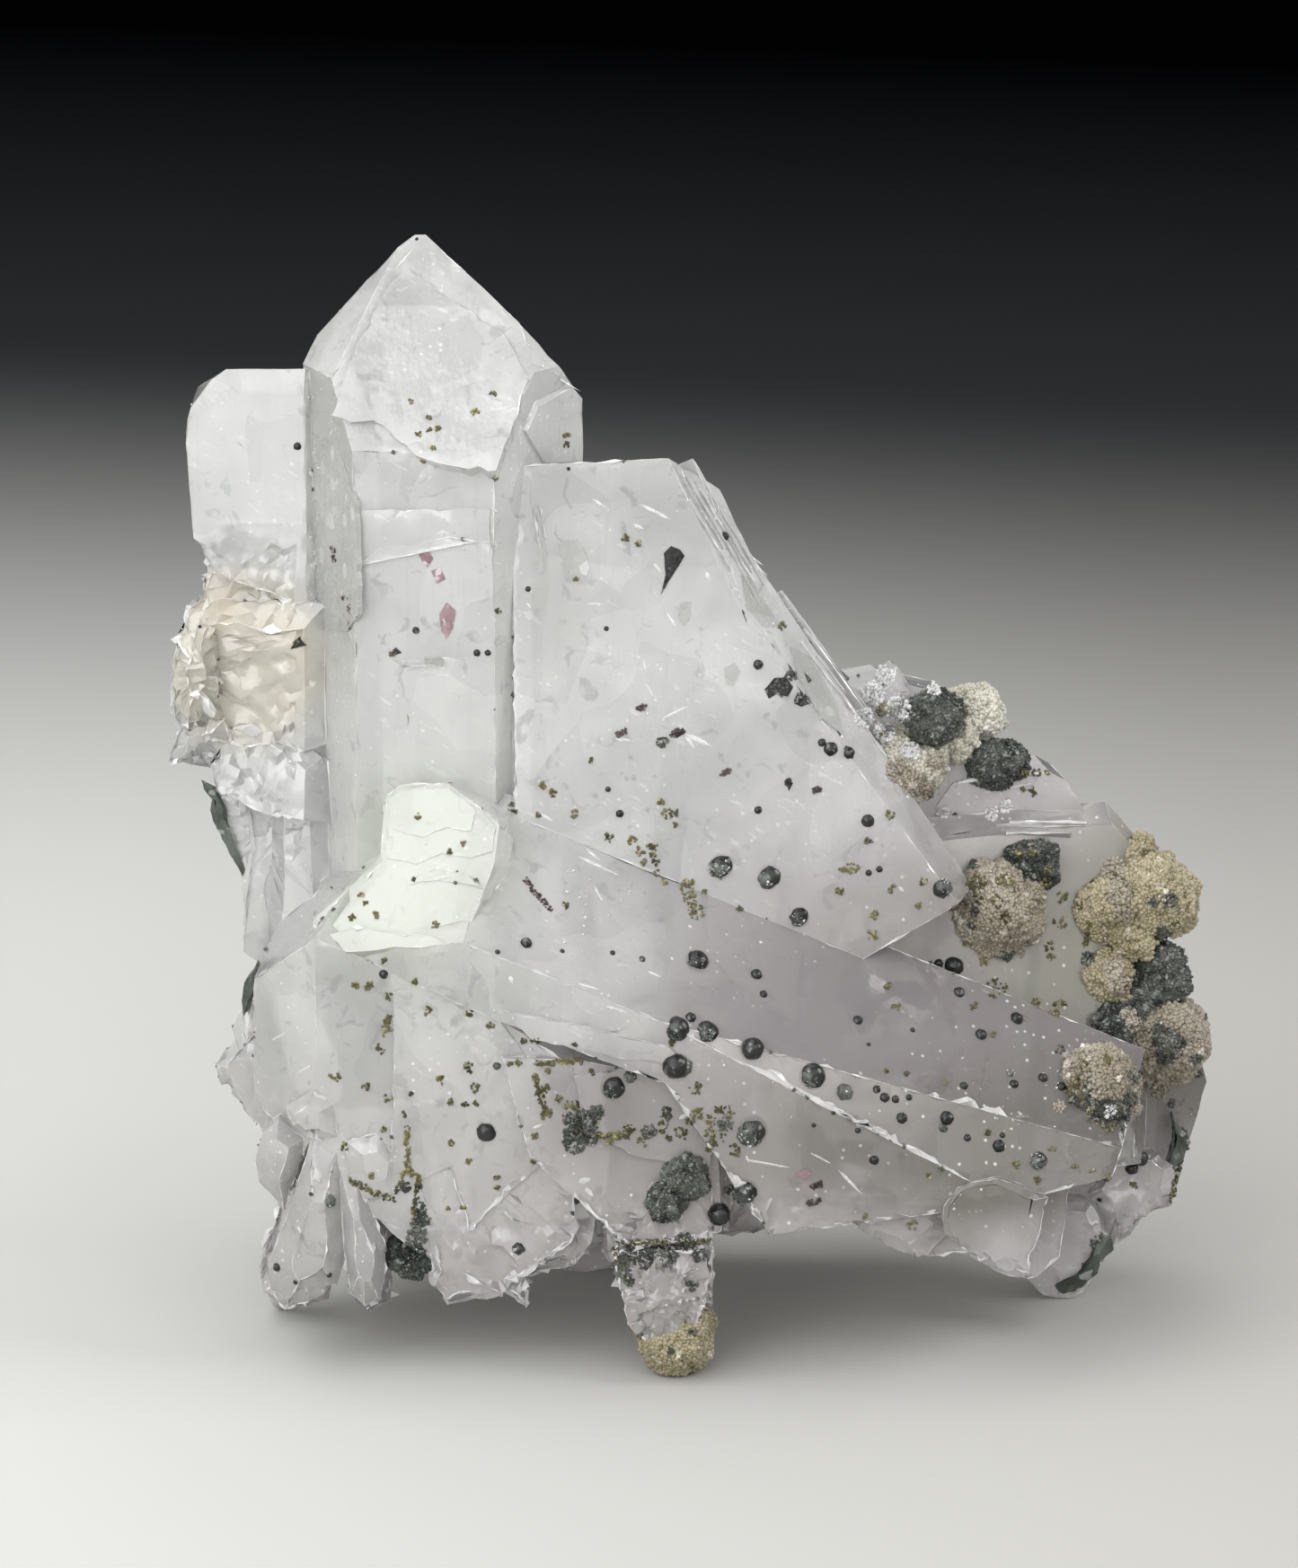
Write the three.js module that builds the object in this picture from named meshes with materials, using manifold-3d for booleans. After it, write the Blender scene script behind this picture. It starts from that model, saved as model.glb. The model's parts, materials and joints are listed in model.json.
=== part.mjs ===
// Quartz with analcime: a palm-sized cluster of clear quartz crystals grown together, with
// sugary tan analcime balls and dark green chlorite balls seated in its surface.
// Millimetres, +Z up. The cluster stands on its own broken points, on the plane z = 0, with
// the origin under the middle of its box. Its most detailed side faces -Y.
import * as THREE from "three";
import { mergeVertices } from "three/addons/utils/BufferGeometryUtils.js";
import Module from "manifold-3d";

const wasm = await Module();
wasm.setup();

// Quartz: six prism faces, and six tip faces whose normals lean this far off the long axis.
const SIXTH_TURN = 60;
const TIP_LEAN = 51.8;
const BLOCK = 200; // the raw block that every crystal is cut from
const SEAT_GAP = 0.35; // clear space between a ball and the socket that it sits in
const BIG_BALL = 1.8; // from this radius up, a ball's icosahedron is split once more
const LUMP_HEIGHT = 0.025; // how far one wave lifts a ball's surface, as a share of its radius
const LUMP_WAVES = [4, 5, 4]; // the waves' tightness along X, Y and Z
const MERGE_WITHIN = 1e-4; // corners nearer than this are one corner

const degrees = THREE.MathUtils.degToRad;
const vec = (xyz) => new THREE.Vector3(...xyz);
const ofSix = (value) => (Array.isArray(value) ? value : new Array(6).fill(value));

// A closed three.js geometry as a solid that can be cut and joined.
function solidOf(geometry) {
  const bare = new THREE.BufferGeometry();
  bare.setAttribute("position", geometry.getAttribute("position"));
  if (geometry.index) bare.setIndex(geometry.index);
  const merged = mergeVertices(bare, MERGE_WITHIN);
  return new wasm.Manifold(
    new wasm.Mesh({
      numProp: 3,
      vertProperties: merged.attributes.position.array,
      triVerts: new Uint32Array(merged.index.array),
    }),
  );
}

// A solid back as a three.js geometry.
function geometryOf(solid) {
  const mesh = solid.getMesh();
  const geometry = new THREE.BufferGeometry();
  geometry.setAttribute("position", new THREE.BufferAttribute(mesh.vertProperties, 3));
  geometry.setIndex(new THREE.BufferAttribute(mesh.triVerts, 1));
  return geometry;
}

// A convex solid: what is left of a block once every plane has been cut off it.
// Each plane has its outward normal and a point that it passes through.
function cutBlock(planes) {
  const block = solidOf(new THREE.BoxGeometry(BLOCK, BLOCK, BLOCK));
  return planes.reduce((left, { facing, through }) => {
    const n = facing.clone().normalize();
    return left.trimByPlane([-n.x, -n.y, -n.z], -n.dot(through));
  }, block);
}

// A further plane for a crystal, by the way it faces and a point on it.
const cut = (facing, through) => ({ facing: vec(facing), through: vec(through) });

// A quartz crystal. at: a point on its long axis. toward: the way its tip points. turn: its
// roll. sides: the distance of each prism face from the axis. tips: how far along the axis
// from that point each tip face crosses it. root: how far behind the point it is broken off.
function crystal({ at, toward, turn = 0, sides, tips, root, also = [] }) {
  const foot = vec(at);
  const axis = vec(toward).normalize();
  const front = new THREE.Vector3(0, -1, 0);
  front.addScaledVector(axis, -front.dot(axis)).normalize();
  const planes = [{ facing: axis.clone().negate(), through: foot.clone().addScaledVector(axis, -root) }];
  for (let i = 0; i < 6; i += 1) {
    const side = front.clone().applyAxisAngle(axis, degrees(turn + i * SIXTH_TURN));
    planes.push({ facing: side, through: foot.clone().addScaledVector(side, ofSix(sides)[i]) });
    const tip = axis.clone().multiplyScalar(Math.cos(degrees(TIP_LEAN)));
    tip.addScaledVector(side, Math.sin(degrees(TIP_LEAN)));
    planes.push({ facing: tip, through: foot.clone().addScaledVector(axis, ofSix(tips)[i]) });
  }
  return cutBlock([...planes, ...also]);
}

// A flat-faced crystal or chip. Its front face passes through at, turned to the right and
// leaning back by the two angles. outline: the face's corners, clockwise, as right and up in
// the face. The side after each corner flares out behind the face by an angle, and a rim
// stops the flare at a distance from the edge, which may differ at the edge's two ends.
function slab({ at, turn = 0, lean = 0, depth, outline, also = [] }) {
  const corner = vec(at);
  const [t, l] = [degrees(turn), degrees(lean)];
  const facing = new THREE.Vector3(Math.sin(t) * Math.cos(l), -Math.cos(t) * Math.cos(l), Math.sin(l));
  const right = new THREE.Vector3(Math.cos(t), Math.sin(t), 0);
  const up = facing.clone().cross(right);
  const inFace = (x, y) => corner.clone().addScaledVector(right, x).addScaledVector(up, y);
  const planes = [
    { facing, through: corner },
    { facing: facing.clone().negate(), through: corner.clone().addScaledVector(facing, -depth) },
  ];
  outline.forEach(([x, y, flare = 0, rim = 0, rimEnd = rim], i) => {
    const [nextX, nextY] = outline[(i + 1) % outline.length];
    const edge = right.clone().multiplyScalar(nextX - x).addScaledVector(up, nextY - y);
    const out = facing.clone().cross(edge).normalize();
    const side = out.clone().multiplyScalar(Math.cos(degrees(flare)));
    planes.push({ facing: side.addScaledVector(facing, Math.sin(degrees(flare))), through: inFace(x, y) });
    if (rim > 0) {
      const outer = inFace(x, y).addScaledVector(out, rim);
      const outerEnd = inFace(nextX, nextY).addScaledVector(out, rimEnd);
      planes.push({ facing: facing.clone().cross(outerEnd.sub(outer)), through: outer });
    }
  });
  return cutBlock([...planes, ...also]);
}

// A lumpy ball, grown by a clear space when it is to cut its own socket.
function ball({ at, radius, stretch = [1, 1, 1], grown = 0 }) {
  const round = new THREE.IcosahedronGeometry(1, radius < BIG_BALL ? 1 : 2);
  const places = round.getAttribute("position");
  const point = new THREE.Vector3();
  for (let i = 0; i < places.count; i += 1) {
    point.fromBufferAttribute(places, i);
    const waves = point.toArray().map((along, k) => Math.sin(LUMP_WAVES[k] * along + at[k]));
    const reach = radius * (1 + LUMP_HEIGHT * (waves[0] + waves[1] + waves[2])) + grown;
    point.multiply(vec(stretch)).multiplyScalar(reach).add(vec(at));
    places.setXYZ(i, point.x, point.y, point.z);
  }
  return solidOf(round);
}

// The tall crystal, whose six-sided point is the top of the cluster.
const TALL = {
  at: [-16.5, 5, 0], toward: [0, 0, 1], turn: -7,
  sides: 8.1, tips: [71.2, 76, 73.4, 76, 77, 75.4], root: -8,
};
const TALL_SHOULDER = {
  at: [-10.7, -1.2, 61.9], turn: 53, depth: 4,
  outline: [[0, 0, 40, 1], [1.4, 1.6, 40, 1], [4.8, 2.2, 30, 1], [6, 1.3], [6, -3], [1.9, -2.4]],
};

// The broad crystal beside it shows one large face. Its right edge is bent, so it is cut as
// two slabs that share that face.
const BROAD_FACE = { at: [-11.7, -1, 59.6], turn: 3, lean: 8, depth: 14 };
const BROAD_BACK = [cut([0.75, 0.66, 0], [9, 11, 40]), cut([-0.4, 0.9, 0.1], [-6, 12.5, 40])];
const BROAD_UPPER = {
  ...BROAD_FACE, also: BROAD_BACK,
  outline: [[0, 0, -30], [10.3, 0.4, 28, 2.3], [24.5, -30], [0, -30, 3]],
};
const BROAD_LOWER = {
  ...BROAD_FACE, also: BROAD_BACK,
  outline: [[0, -1, -30], [8.7, -1, 24, 3.2, 1.5], [29.4, -29.5], [22.7, -33.3], [0, -42, 3]],
};

// The big crystal that lies across the front. Its bright tip faces the front left. Its front
// edge is worn away towards the right, and only its right part reaches down to the belly.
const LYING = {
  at: [-16.9, -1.6, 25.8], toward: [-0.923, 0, 0.385], turn: 54,
  sides: [11.3, 11.3, 10, 10, 11.3, 11.3], tips: [14.3, 16, 16, 16, 18, 17.5], root: 46,
};
const LYING_WEAR = cut([0.24, -0.88, 0.42], [-1.5, -13.5, 25.1]);
const LYING_UNDERSIDE = cut([0.16, 0, -1], [0, -6, 9.3]);
const LYING_HEAD = {
  ...LYING,
  also: [
    LYING_WEAR,
    cut([-0.302, -0.935, -0.185], [-14.9, -13.5, 30.7]),
    cut([-0.62, 0, 0.79], [-25, -7.4, 30.2]),
    cut([-1, 0, 0], [-24.9, 0, 30]),
    cut([-0.366, 0, -0.93], [-1.6, -13.4, 20.9]),
    LYING_UNDERSIDE,
  ],
};
const LYING_BELLY = {
  ...LYING,
  also: [LYING_WEAR, cut([-0.83, -0.1, -0.55], [-1.6, -13.4, 20.9]), LYING_UNDERSIDE],
};
const LYING_TIP = {
  at: [-16.4, -6.8, 34.5], turn: -18, lean: 28, depth: 5,
  outline: [
    [-4.4, 2.1], [-4.6, 3.8], [-3.7, 4.5, 20, 1], [-0.5, 5, 20, 1], [3.6, 2.9], [3.7, -0.6], [-4.3, -1],
  ],
};

// The crystal at the right, whose front leans back under a stepped, broken ledge.
const RIGHT = {
  at: [17.1, 2.5, 32.9], turn: 11, lean: 20, depth: 12,
  outline: [[-4, 0, 55, 1.7], [11.9, 0.7, 40, 1], [13.9, -1.9, 30, 1.5], [11.6, -22.4], [-4.7, -23.2]],
};
const LEDGE = {
  at: [17.8, 5, 34.4], turn: 5, lean: 5, depth: 7,
  outline: [[-1, 0.5], [0.1, 2], [2.4, 2.5], [6.7, 2.6], [7.8, 2], [9, 0], [8.6, -4], [-1.2, -4]],
};
const CREST = {
  at: [11.1, 5, 43.8], turn: 10, lean: 5, depth: 7,
  outline: [[-4, -1], [2.6, -0.3], [6.8, -1.6], [9.6, -5.1], [9.9, -10], [-4, -10]],
};
const CREST_TIP = { ...CREST, depth: 3, outline: [[0.5, -1.5], [3, 0.6], [4.6, -2]] };
const RIGHT_CHUNK = {
  at: [28.3, 2, 17.1], turn: 14, lean: -5, depth: 9,
  outline: [[-3, 4, 30, 2], [6.4, 1.5], [7.4, -1.5], [6.5, -5.7], [5.3, -10.7], [3.4, -11.5], [-3, -12.7]],
};

// The stack on the left of the tall crystal: a milky plate over glassy yellowish lumps.
const LEFT_PLATE = {
  at: [-30.8, 5, 64.9], turn: -4, lean: 4, depth: 6,
  outline: [
    [0, 0, -20], [5.3, 0.1, 40], [5.3, -16], [-1.1, -13.8, 5], [-2.3, -11.4, 5], [-2.8, -4.1, 5],
    [-2.4, -2.6, 8], [-1, -0.7],
  ],
};
const LEFT_STACK = [
  {
    at: [-32.3, 5.5, 50.8], turn: -8, lean: 2, depth: 6,
    outline: [[0, 3], [6, 3, 40], [6.2, -4], [-0.3, -4]],
  },
  {
    at: [-30.3, 5, 49.8], turn: -12, lean: 12, depth: 6,
    outline: [
      [-2.2, 0.1, 20, 1], [-0.2, 0.8, 45, 1], [4.6, 0.7, 40], [4.7, -4], [-1.4, -4.1], [-2.4, -2, 20, 1],
    ],
  },
  {
    at: [-31.7, 4, 47.4], turn: -18, depth: 8,
    outline: [
      [-2.3, -0.3, 50, 1.5], [0, 0.6, 50, 1.5], [6.3, 0.5, 40], [6.2, -8], [-0.2, -9.4],
      [-2.5, -8.9, 30, 1], [-3.4, -6.5, 30, 1], [-3.2, -3.3, 30, 1],
    ],
  },
  {
    at: [-32.2, 4, 39.3], turn: -10, depth: 6,
    outline: [[-3.1, -1.4], [-2.5, 0.8], [6.4, 2.2, 40], [6.4, -0.9], [0.3, -2]],
  },
  {
    at: [-31.8, 2.5, 38.5], turn: -10, lean: 14, depth: 8,
    outline: [
      [-0.7, 0, 30, 1], [0.6, 1.4, 50, 1.2], [3.6, 1.7, 50, 1.2], [6.2, -0.2, 40], [6.2, -3.6],
      [3.2, -3.2], [0.1, -1.8],
    ],
  },
  {
    at: [-30.2, 4, 35], turn: -22, depth: 9,
    outline: [[-2, 1.1], [5, 1.8, 40], [5.3, -12], [0.1, -12], [-0.1, -6.3, 20, 1], [-0.6, -3.8, 20, 1]],
  },
];

// The broken crystals under the lying one, down to the points that the cluster stands on.
const LOWER_LEFT = {
  at: [-24.5, -11, 29.9], turn: -6, lean: -2, depth: 18,
  outline: [
    [0, 0.3, 20], [11.3, -4.4], [17, -8.1], [16.9, -20.1], [12, -24.1], [6.7, -21.8, 10],
    [-0.3, -15.7, 50, 4.8],
  ],
  also: [cut([-0.69, 0, 0.72], [-24.5, -11, 30.2])],
};
const LOWER_LEFT_SIDE = {
  at: [-25.5, -7, 20.6], turn: -20, lean: -10, depth: 9,
  outline: [
    [-5.1, -0.6, 20, 1], [0.4, 0.7], [3.8, -0.9], [3.2, -7.7], [-2.5, -11.5], [-4.2, -10.3],
    [-5.4, -3.2], [-6.5, -1.4],
  ],
};
const MIDDLE_LUMP = {
  at: [-7.6, -12.5, 21.2], turn: 8, lean: 4, depth: 12,
  outline: [
    [-4.7, 1.4], [0, 1.2], [5.9, -0.3, 30, 1], [9.5, -5.9, 30, 1], [9.7, -11.1], [3.4, -11.7], [-3, -5.3],
  ],
};
const LEFT_POINTS = [
  {
    at: [-23, -5, 15.6], toward: [-4.6, 5.5, -15.3], turn: 10,
    sides: 2.3, tips: [17, 18, 19, 18.5, 18, 17.5], root: 6,
  },
  { at: [-20.8, -7, 16.3], toward: [-0.9, 6, -15.2], turn: 25, sides: 1.5, tips: 17, root: 6 },
];
const LOWER_CHIPS = [
  {
    at: [-17.3, -6, 10.2], lean: -6, depth: 6,
    outline: [[-0.7, 5], [5.2, 5], [3.8, -6.9], [0.9, -7.7], [0.1, -2.3]],
  },
  { at: [-12.5, -5, 9.9], lean: -4, depth: 7, outline: [[-1.8, 5], [1.9, 5], [1.6, -7.8], [-1.6, -5.6]] },
  {
    at: [-10.1, -7, 10.6], turn: 5, lean: -4, depth: 8,
    outline: [[-1.5, 5], [5.4, 5], [3.9, -2.5], [2.7, -4.5], [-0.8, -5.5]],
  },
];
const NUB = {
  at: [-4, -12, 9.2], lean: -2, depth: 5,
  outline: [[-1.9, 4], [5.5, 4], [5.5, -3.2, 20, 1], [4.5, -6.4], [1.6, -6.6], [0, -4.5, 20, 1]],
};
const RIGHT_CHIPS = [
  {
    at: [10.5, -11.5, 12.7], lean: -6, depth: 6,
    outline: [[-1.2, 4], [8.6, 4], [8.4, -4.1], [4.9, -4.9], [2.2, -3.4], [0.1, -2.6]],
  },
  {
    at: [17.4, -10, 12.2], turn: 4, lean: -8, depth: 7,
    outline: [[-0.7, 4], [8.1, 4], [7.4, -4.9], [5.4, -6.8], [3.6, -6], [1.1, -4.6]],
  },
  {
    at: [23, 2, 5.5], turn: 6, lean: -10, depth: 4,
    outline: [[-2, 8], [6, 8], [5.4, -2.9], [4.5, -5], [2.3, -6.5], [0.4, -3.9]],
  },
  {
    at: [27.7, 4, 6.8], turn: 8, lean: -10, depth: 5,
    outline: [[-3, 8], [4.8, 6], [5.6, -0.6], [2.9, -2.7], [2, -4.1], [-0.4, -4.2]],
  },
];

// The back: shorter points, and the rough broken base with its own foot.
const BACK_POINTS = [
  { at: [3, 10, 20], toward: [0.1, 0.28, 1], turn: 12, sides: 6, tips: [27.5, 28, 29, 29, 29, 28], root: 12 },
  { at: [17, 9, 12], toward: [0.15, 0.3, 1], turn: -15, sides: 5, tips: [18, 19, 20, 20, 19, 18], root: 6 },
  {
    at: [-18, 12, 14], toward: [-0.2, 0.3, 1], turn: 30,
    sides: 4.5, tips: [22, 22, 23, 24, 23, 22], root: 8,
  },
  {
    at: [-8, 13, 16], toward: [-0.1, 0.75, 0.9], turn: 5,
    sides: 3.5, tips: [13, 14, 14, 13, 13, 14], root: 6,
  },
  {
    at: [10, 12, 12], toward: [0.3, 0.9, 0.35], turn: 20,
    sides: 3.2, tips: [10, 11, 11, 10, 10, 11], root: 8,
  },
];
const BACK_BASE = {
  at: [-14, 2, 17], depth: 12,
  outline: [[-12, 8], [30, 6], [33, -6], [26, -11], [4, -13], [-10, -9]],
};
const BACK_FOOT = {
  at: [-7, 8, 8], turn: 10, lean: -6, depth: 6,
  outline: [[-5, 4], [9, 4], [6, -5], [4, -12], [0, -12], [-3, -4]],
};

// The tan balls. Balls of one sort that grew into each other are one piece.
const ANALCIME = {
  analcime_crest: [
    { at: [15.3, 4.2, 38.1], radius: 2.3 },
    { at: [18, 5.2, 39.8], radius: 1.7 },
    { at: [19.4, 6.2, 41.1], radius: 1.8 },
  ],
  analcime_shelf: [{ at: [21.1, 0.9, 28.9], radius: 2.9 }],
  analcime_edge_upper: [
    { at: [31.7, 4, 28.7], radius: 3 },
    { at: [28.6, 2.6, 28.5], radius: 1.9 },
    { at: [30.6, 5.4, 31.2], radius: 1 },
    { at: [30.1, 2.2, 26], radius: 1.5 },
    { at: [28.8, 1.2, 24], radius: 1.5 },
  ],
  analcime_edge_lower: [{ at: [32.5, 2.8, 19.1], radius: 3.1 }],
  analcime_edge_front: [{ at: [27.4, -6.2, 18.8], radius: 2.3 }, { at: [28.4, -4.6, 17], radius: 1.7 }],
  analcime_foot: [{ at: [-0.8, -11, 2.35], radius: 2.4 }],
};

// The dark green balls, some of which sit in the tan ones.
const CHLORITE = {
  chlorite_crest_left: [{ at: [16.5, 3.6, 41.5], radius: 2 }],
  chlorite_crest_right: [{ at: [20.5, 5.2, 37.8], radius: 1.6 }, { at: [21.9, 5.6, 38], radius: 1.2 }],
  chlorite_shelf: [{ at: [23.2, 2.4, 31.4], radius: 1.7 }],
  chlorite_edge: [{ at: [31.9, 2.8, 23.7], radius: 2.2 }, { at: [30.8, 2, 22.8], radius: 1.5 }],
  chlorite_edge_small: [{ at: [29, 0, 21.1], radius: 1.3 }],
  chlorite_drop: [{ at: [-18.6, -9, 8], radius: 1.3, stretch: [1, 1, 1.8] }],
  chlorite_front: [{ at: [-0.2, -12.6, 14.2], radius: 1.3 }, { at: [-1.6, -12.4, 12.6], radius: 1 }],
};

const joined = (solids) => solids.reduce((all, next) => all.add(next));
const largest = (solid) => solid.decompose().reduce((a, b) => (a.volume() > b.volume() ? a : b));
const lobes = (list, grown = 0) => joined(list.map((lobe) => ball({ ...lobe, grown })));

const crystals = [TALL, LYING_HEAD, LYING_BELLY, ...LEFT_POINTS, ...BACK_POINTS].map(crystal);
const slabs = [
  TALL_SHOULDER, BROAD_UPPER, BROAD_LOWER, LYING_TIP, RIGHT, LEDGE, CREST, CREST_TIP, RIGHT_CHUNK,
  LEFT_PLATE, ...LEFT_STACK, LOWER_LEFT, LOWER_LEFT_SIDE, MIDDLE_LUMP, ...LOWER_CHIPS, NUB, ...RIGHT_CHIPS,
  BACK_BASE, BACK_FOOT,
].map(slab);
const tanSockets = joined(Object.values(ANALCIME).map((list) => lobes(list, SEAT_GAP)));
const darkSockets = joined(Object.values(CHLORITE).map((list) => lobes(list, SEAT_GAP)));
const grownTogether = joined([...crystals, ...slabs]).trimByPlane([0, 0, 1], 0);

const specimen = new THREE.Group();

function addPiece(name, solid, material) {
  const mesh = new THREE.Mesh(geometryOf(solid), material);
  mesh.name = name;
  specimen.add(mesh);
}

const clearQuartz = new THREE.MeshStandardMaterial({ color: 0xdcdad8, roughness: 0.15, metalness: 0 });
const tanAnalcime = new THREE.MeshStandardMaterial({ color: 0xb0a585, roughness: 0.6, metalness: 0 });
const darkChlorite = new THREE.MeshStandardMaterial({ color: 0x383a33, roughness: 0.7, metalness: 0 });

// Crumbs that neighbouring sockets cut loose are left out.
addPiece("quartz_cluster", largest(grownTogether.subtract(tanSockets).subtract(darkSockets)), clearQuartz);
Object.entries(ANALCIME).forEach(([name, list]) => {
  addPiece(name, lobes(list).subtract(darkSockets), tanAnalcime);
});
Object.entries(CHLORITE).forEach(([name, list]) => addPiece(name, lobes(list), darkChlorite));

const middle = new THREE.Box3().setFromObject(specimen).getCenter(new THREE.Vector3());
specimen.position.set(-middle.x, -middle.y, 0);

export default specimen;
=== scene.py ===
"""Quartz with analcime: the looks of a natural crystal cluster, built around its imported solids.

Lengths are in millimetres in the fields below and in metres in Blender.
"""

import json
import logging
import math
import random
from dataclasses import dataclass
from enum import Enum

import bmesh
import bpy
from mathutils import Matrix, Vector, noise
from mathutils.bvhtree import BVHTree


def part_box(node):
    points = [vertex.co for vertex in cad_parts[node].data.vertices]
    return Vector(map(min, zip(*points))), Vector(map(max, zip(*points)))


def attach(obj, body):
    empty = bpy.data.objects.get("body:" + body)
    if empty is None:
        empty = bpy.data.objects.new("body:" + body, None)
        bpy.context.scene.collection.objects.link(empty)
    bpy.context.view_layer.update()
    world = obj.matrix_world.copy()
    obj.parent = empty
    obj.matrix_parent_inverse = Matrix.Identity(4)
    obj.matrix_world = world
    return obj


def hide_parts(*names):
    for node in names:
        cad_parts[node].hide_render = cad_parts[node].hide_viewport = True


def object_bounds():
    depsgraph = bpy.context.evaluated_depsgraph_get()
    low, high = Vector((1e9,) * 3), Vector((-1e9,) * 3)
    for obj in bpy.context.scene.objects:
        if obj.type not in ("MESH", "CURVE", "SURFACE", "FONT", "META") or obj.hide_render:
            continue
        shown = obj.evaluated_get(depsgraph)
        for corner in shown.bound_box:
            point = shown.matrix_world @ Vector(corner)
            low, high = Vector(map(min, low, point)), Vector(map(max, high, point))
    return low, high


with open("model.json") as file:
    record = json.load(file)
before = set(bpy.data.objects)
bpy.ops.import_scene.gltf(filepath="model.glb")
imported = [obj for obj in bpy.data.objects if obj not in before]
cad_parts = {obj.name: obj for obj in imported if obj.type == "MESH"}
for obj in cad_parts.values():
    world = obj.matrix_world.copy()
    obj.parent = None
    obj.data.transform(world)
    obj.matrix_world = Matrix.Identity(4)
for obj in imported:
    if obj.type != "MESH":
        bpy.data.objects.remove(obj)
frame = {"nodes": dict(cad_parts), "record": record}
CAD_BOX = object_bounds()
MM = 0.001
BODY = "root"
NOISE_SEED = 12
TAN_FINISHES = {
    "analcime_edge_upper": "warm", "analcime_foot": "warm",
    "analcime_edge_lower": "rosy", "analcime_edge_front": "rosy", "analcime_shelf": "rosy",
}
QUARTZ_NODE = "quartz_cluster"
log = logging.getLogger("quartz_with_analcime")


class Slot(Enum):
    """The record's material slots."""

    QUARTZ = "quartz"
    ANALCIME = "analcime"
    CHLORITE = "chlorite"


@dataclass(frozen=True)
class PhotoView:
    """The photograph's camera, as measured from its floor line and the crystals' widths."""

    wide_px: int = 1445
    high_px: int = 1746
    target: tuple[float, float, float] = (-2.8, -4.06, 37.7)
    distance: float = 400.0
    elevation: float = 15.0
    mm_per_px: float = 0.06
    sensor: float = 36.0

    def axes(self) -> tuple[Vector, Vector, Vector]:
        """The camera's right, its up and the way back from the target to it."""
        lean = math.radians(self.elevation)
        back = Vector((0, -math.cos(lean), math.sin(lean)))
        right = Vector((1, 0, 0))
        return right, back.cross(right), back

    def place(self) -> Vector:
        """Where the camera stands, in metres."""
        return (Vector(self.target) + self.axes()[2] * self.distance) * MM

    def ray(self, u: float, v: float) -> Vector:
        """The direction in which the photograph sees a pixel.

        Args:
            u: the pixel's column, from the left.
            v: the pixel's row, from the top.

        Returns:
            A unit vector away from the camera.
        """
        right, up, back = self.axes()
        per_px = self.mm_per_px / self.distance
        across = (u - self.wide_px / 2) * per_px
        above = (self.high_px / 2 - v) * per_px
        return (right * across + up * above - back).normalized()

    def onto(self, u: float, v: float, place: Vector, facing: Vector) -> Vector:
        """Where a pixel's ray meets a plane.

        Args:
            u: the pixel's column.
            v: the pixel's row.
            place: a point on the plane, in metres.
            facing: the plane's normal.

        Returns:
            The point, in metres.
        """
        eye = self.place()
        ray = self.ray(u, v)
        return eye + ray * ((place - eye).dot(facing) / ray.dot(facing))

    def make_camera(self) -> bpy.types.Object:
        """The scene's camera, at the photograph's viewing angle."""
        data = bpy.data.cameras.new("photo_camera")
        data.sensor_width = self.sensor
        data.lens = self.sensor * self.distance / (self.high_px * self.mm_per_px)
        data.clip_start = 10 * MM
        data.clip_end = 20
        camera = bpy.data.objects.new("photo_camera", data)
        right, up, back = self.axes()
        turn = Matrix((right, up, back)).transposed().to_4x4()
        camera.matrix_world = Matrix.Translation(self.place()) @ turn
        bpy.context.scene.collection.objects.link(camera)
        bpy.context.scene.camera = camera
        return camera


def link(name: str, mesh: bpy.types.Mesh) -> bpy.types.Object:
    """A new object in the scene, at the origin.

    Args:
        name: the piece's name.
        mesh: its mesh, already in place.

    Returns:
        The object.
    """
    piece = bpy.data.objects.new(name, mesh)
    bpy.context.scene.collection.objects.link(piece)
    return piece


def link_bmesh(name: str, form: bmesh.types.BMesh) -> bpy.types.Object:
    """A new object from a bmesh, which is freed.

    Args:
        name: the piece's name.
        form: the bmesh.

    Returns:
        The object.
    """
    mesh = bpy.data.meshes.new(name)
    form.to_mesh(mesh)
    form.free()
    return link(name, mesh)


def baked(piece: bpy.types.Object) -> bpy.types.Object:
    """Turns a piece's modifiers into its plain mesh.

    Args:
        piece: the object, whose modifiers are applied and removed.

    Returns:
        The same object.
    """
    graph = bpy.context.evaluated_depsgraph_get()
    graph.update()
    mesh = bpy.data.meshes.new_from_object(piece.evaluated_get(graph), depsgraph=graph)
    mesh.name = piece.name
    piece.modifiers.clear()
    piece.data = mesh
    return piece


def drop(piece: bpy.types.Object) -> None:
    """Deletes a helper object."""
    bpy.data.objects.remove(piece, do_unlink=True)


def join_solid(piece: bpy.types.Object, tool: bpy.types.Object, operation: str) -> None:
    """Joins a tool to a piece, or cuts it away, and deletes the tool.

    Args:
        piece: the solid that is changed.
        tool: the solid that changes it.
        operation: UNION or DIFFERENCE.
    """
    step = piece.modifiers.new("cut", "BOOLEAN")
    step.operation = operation
    step.solver = "MANIFOLD"
    step.object = tool
    baked(piece)
    drop(tool)


def own(piece: bpy.types.Object, slot: Slot, *nodes: str) -> None:
    """Hands a finished piece to the frame.

    Args:
        piece: the finished object.
        slot: the material slot that its finish comes from; not used.
        nodes: the solids that it stands for.
    """
    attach(piece, BODY)
    if nodes:
        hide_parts(*nodes)
    log.info("%s: %d faces", piece.name, len(piece.data.polygons))


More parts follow.
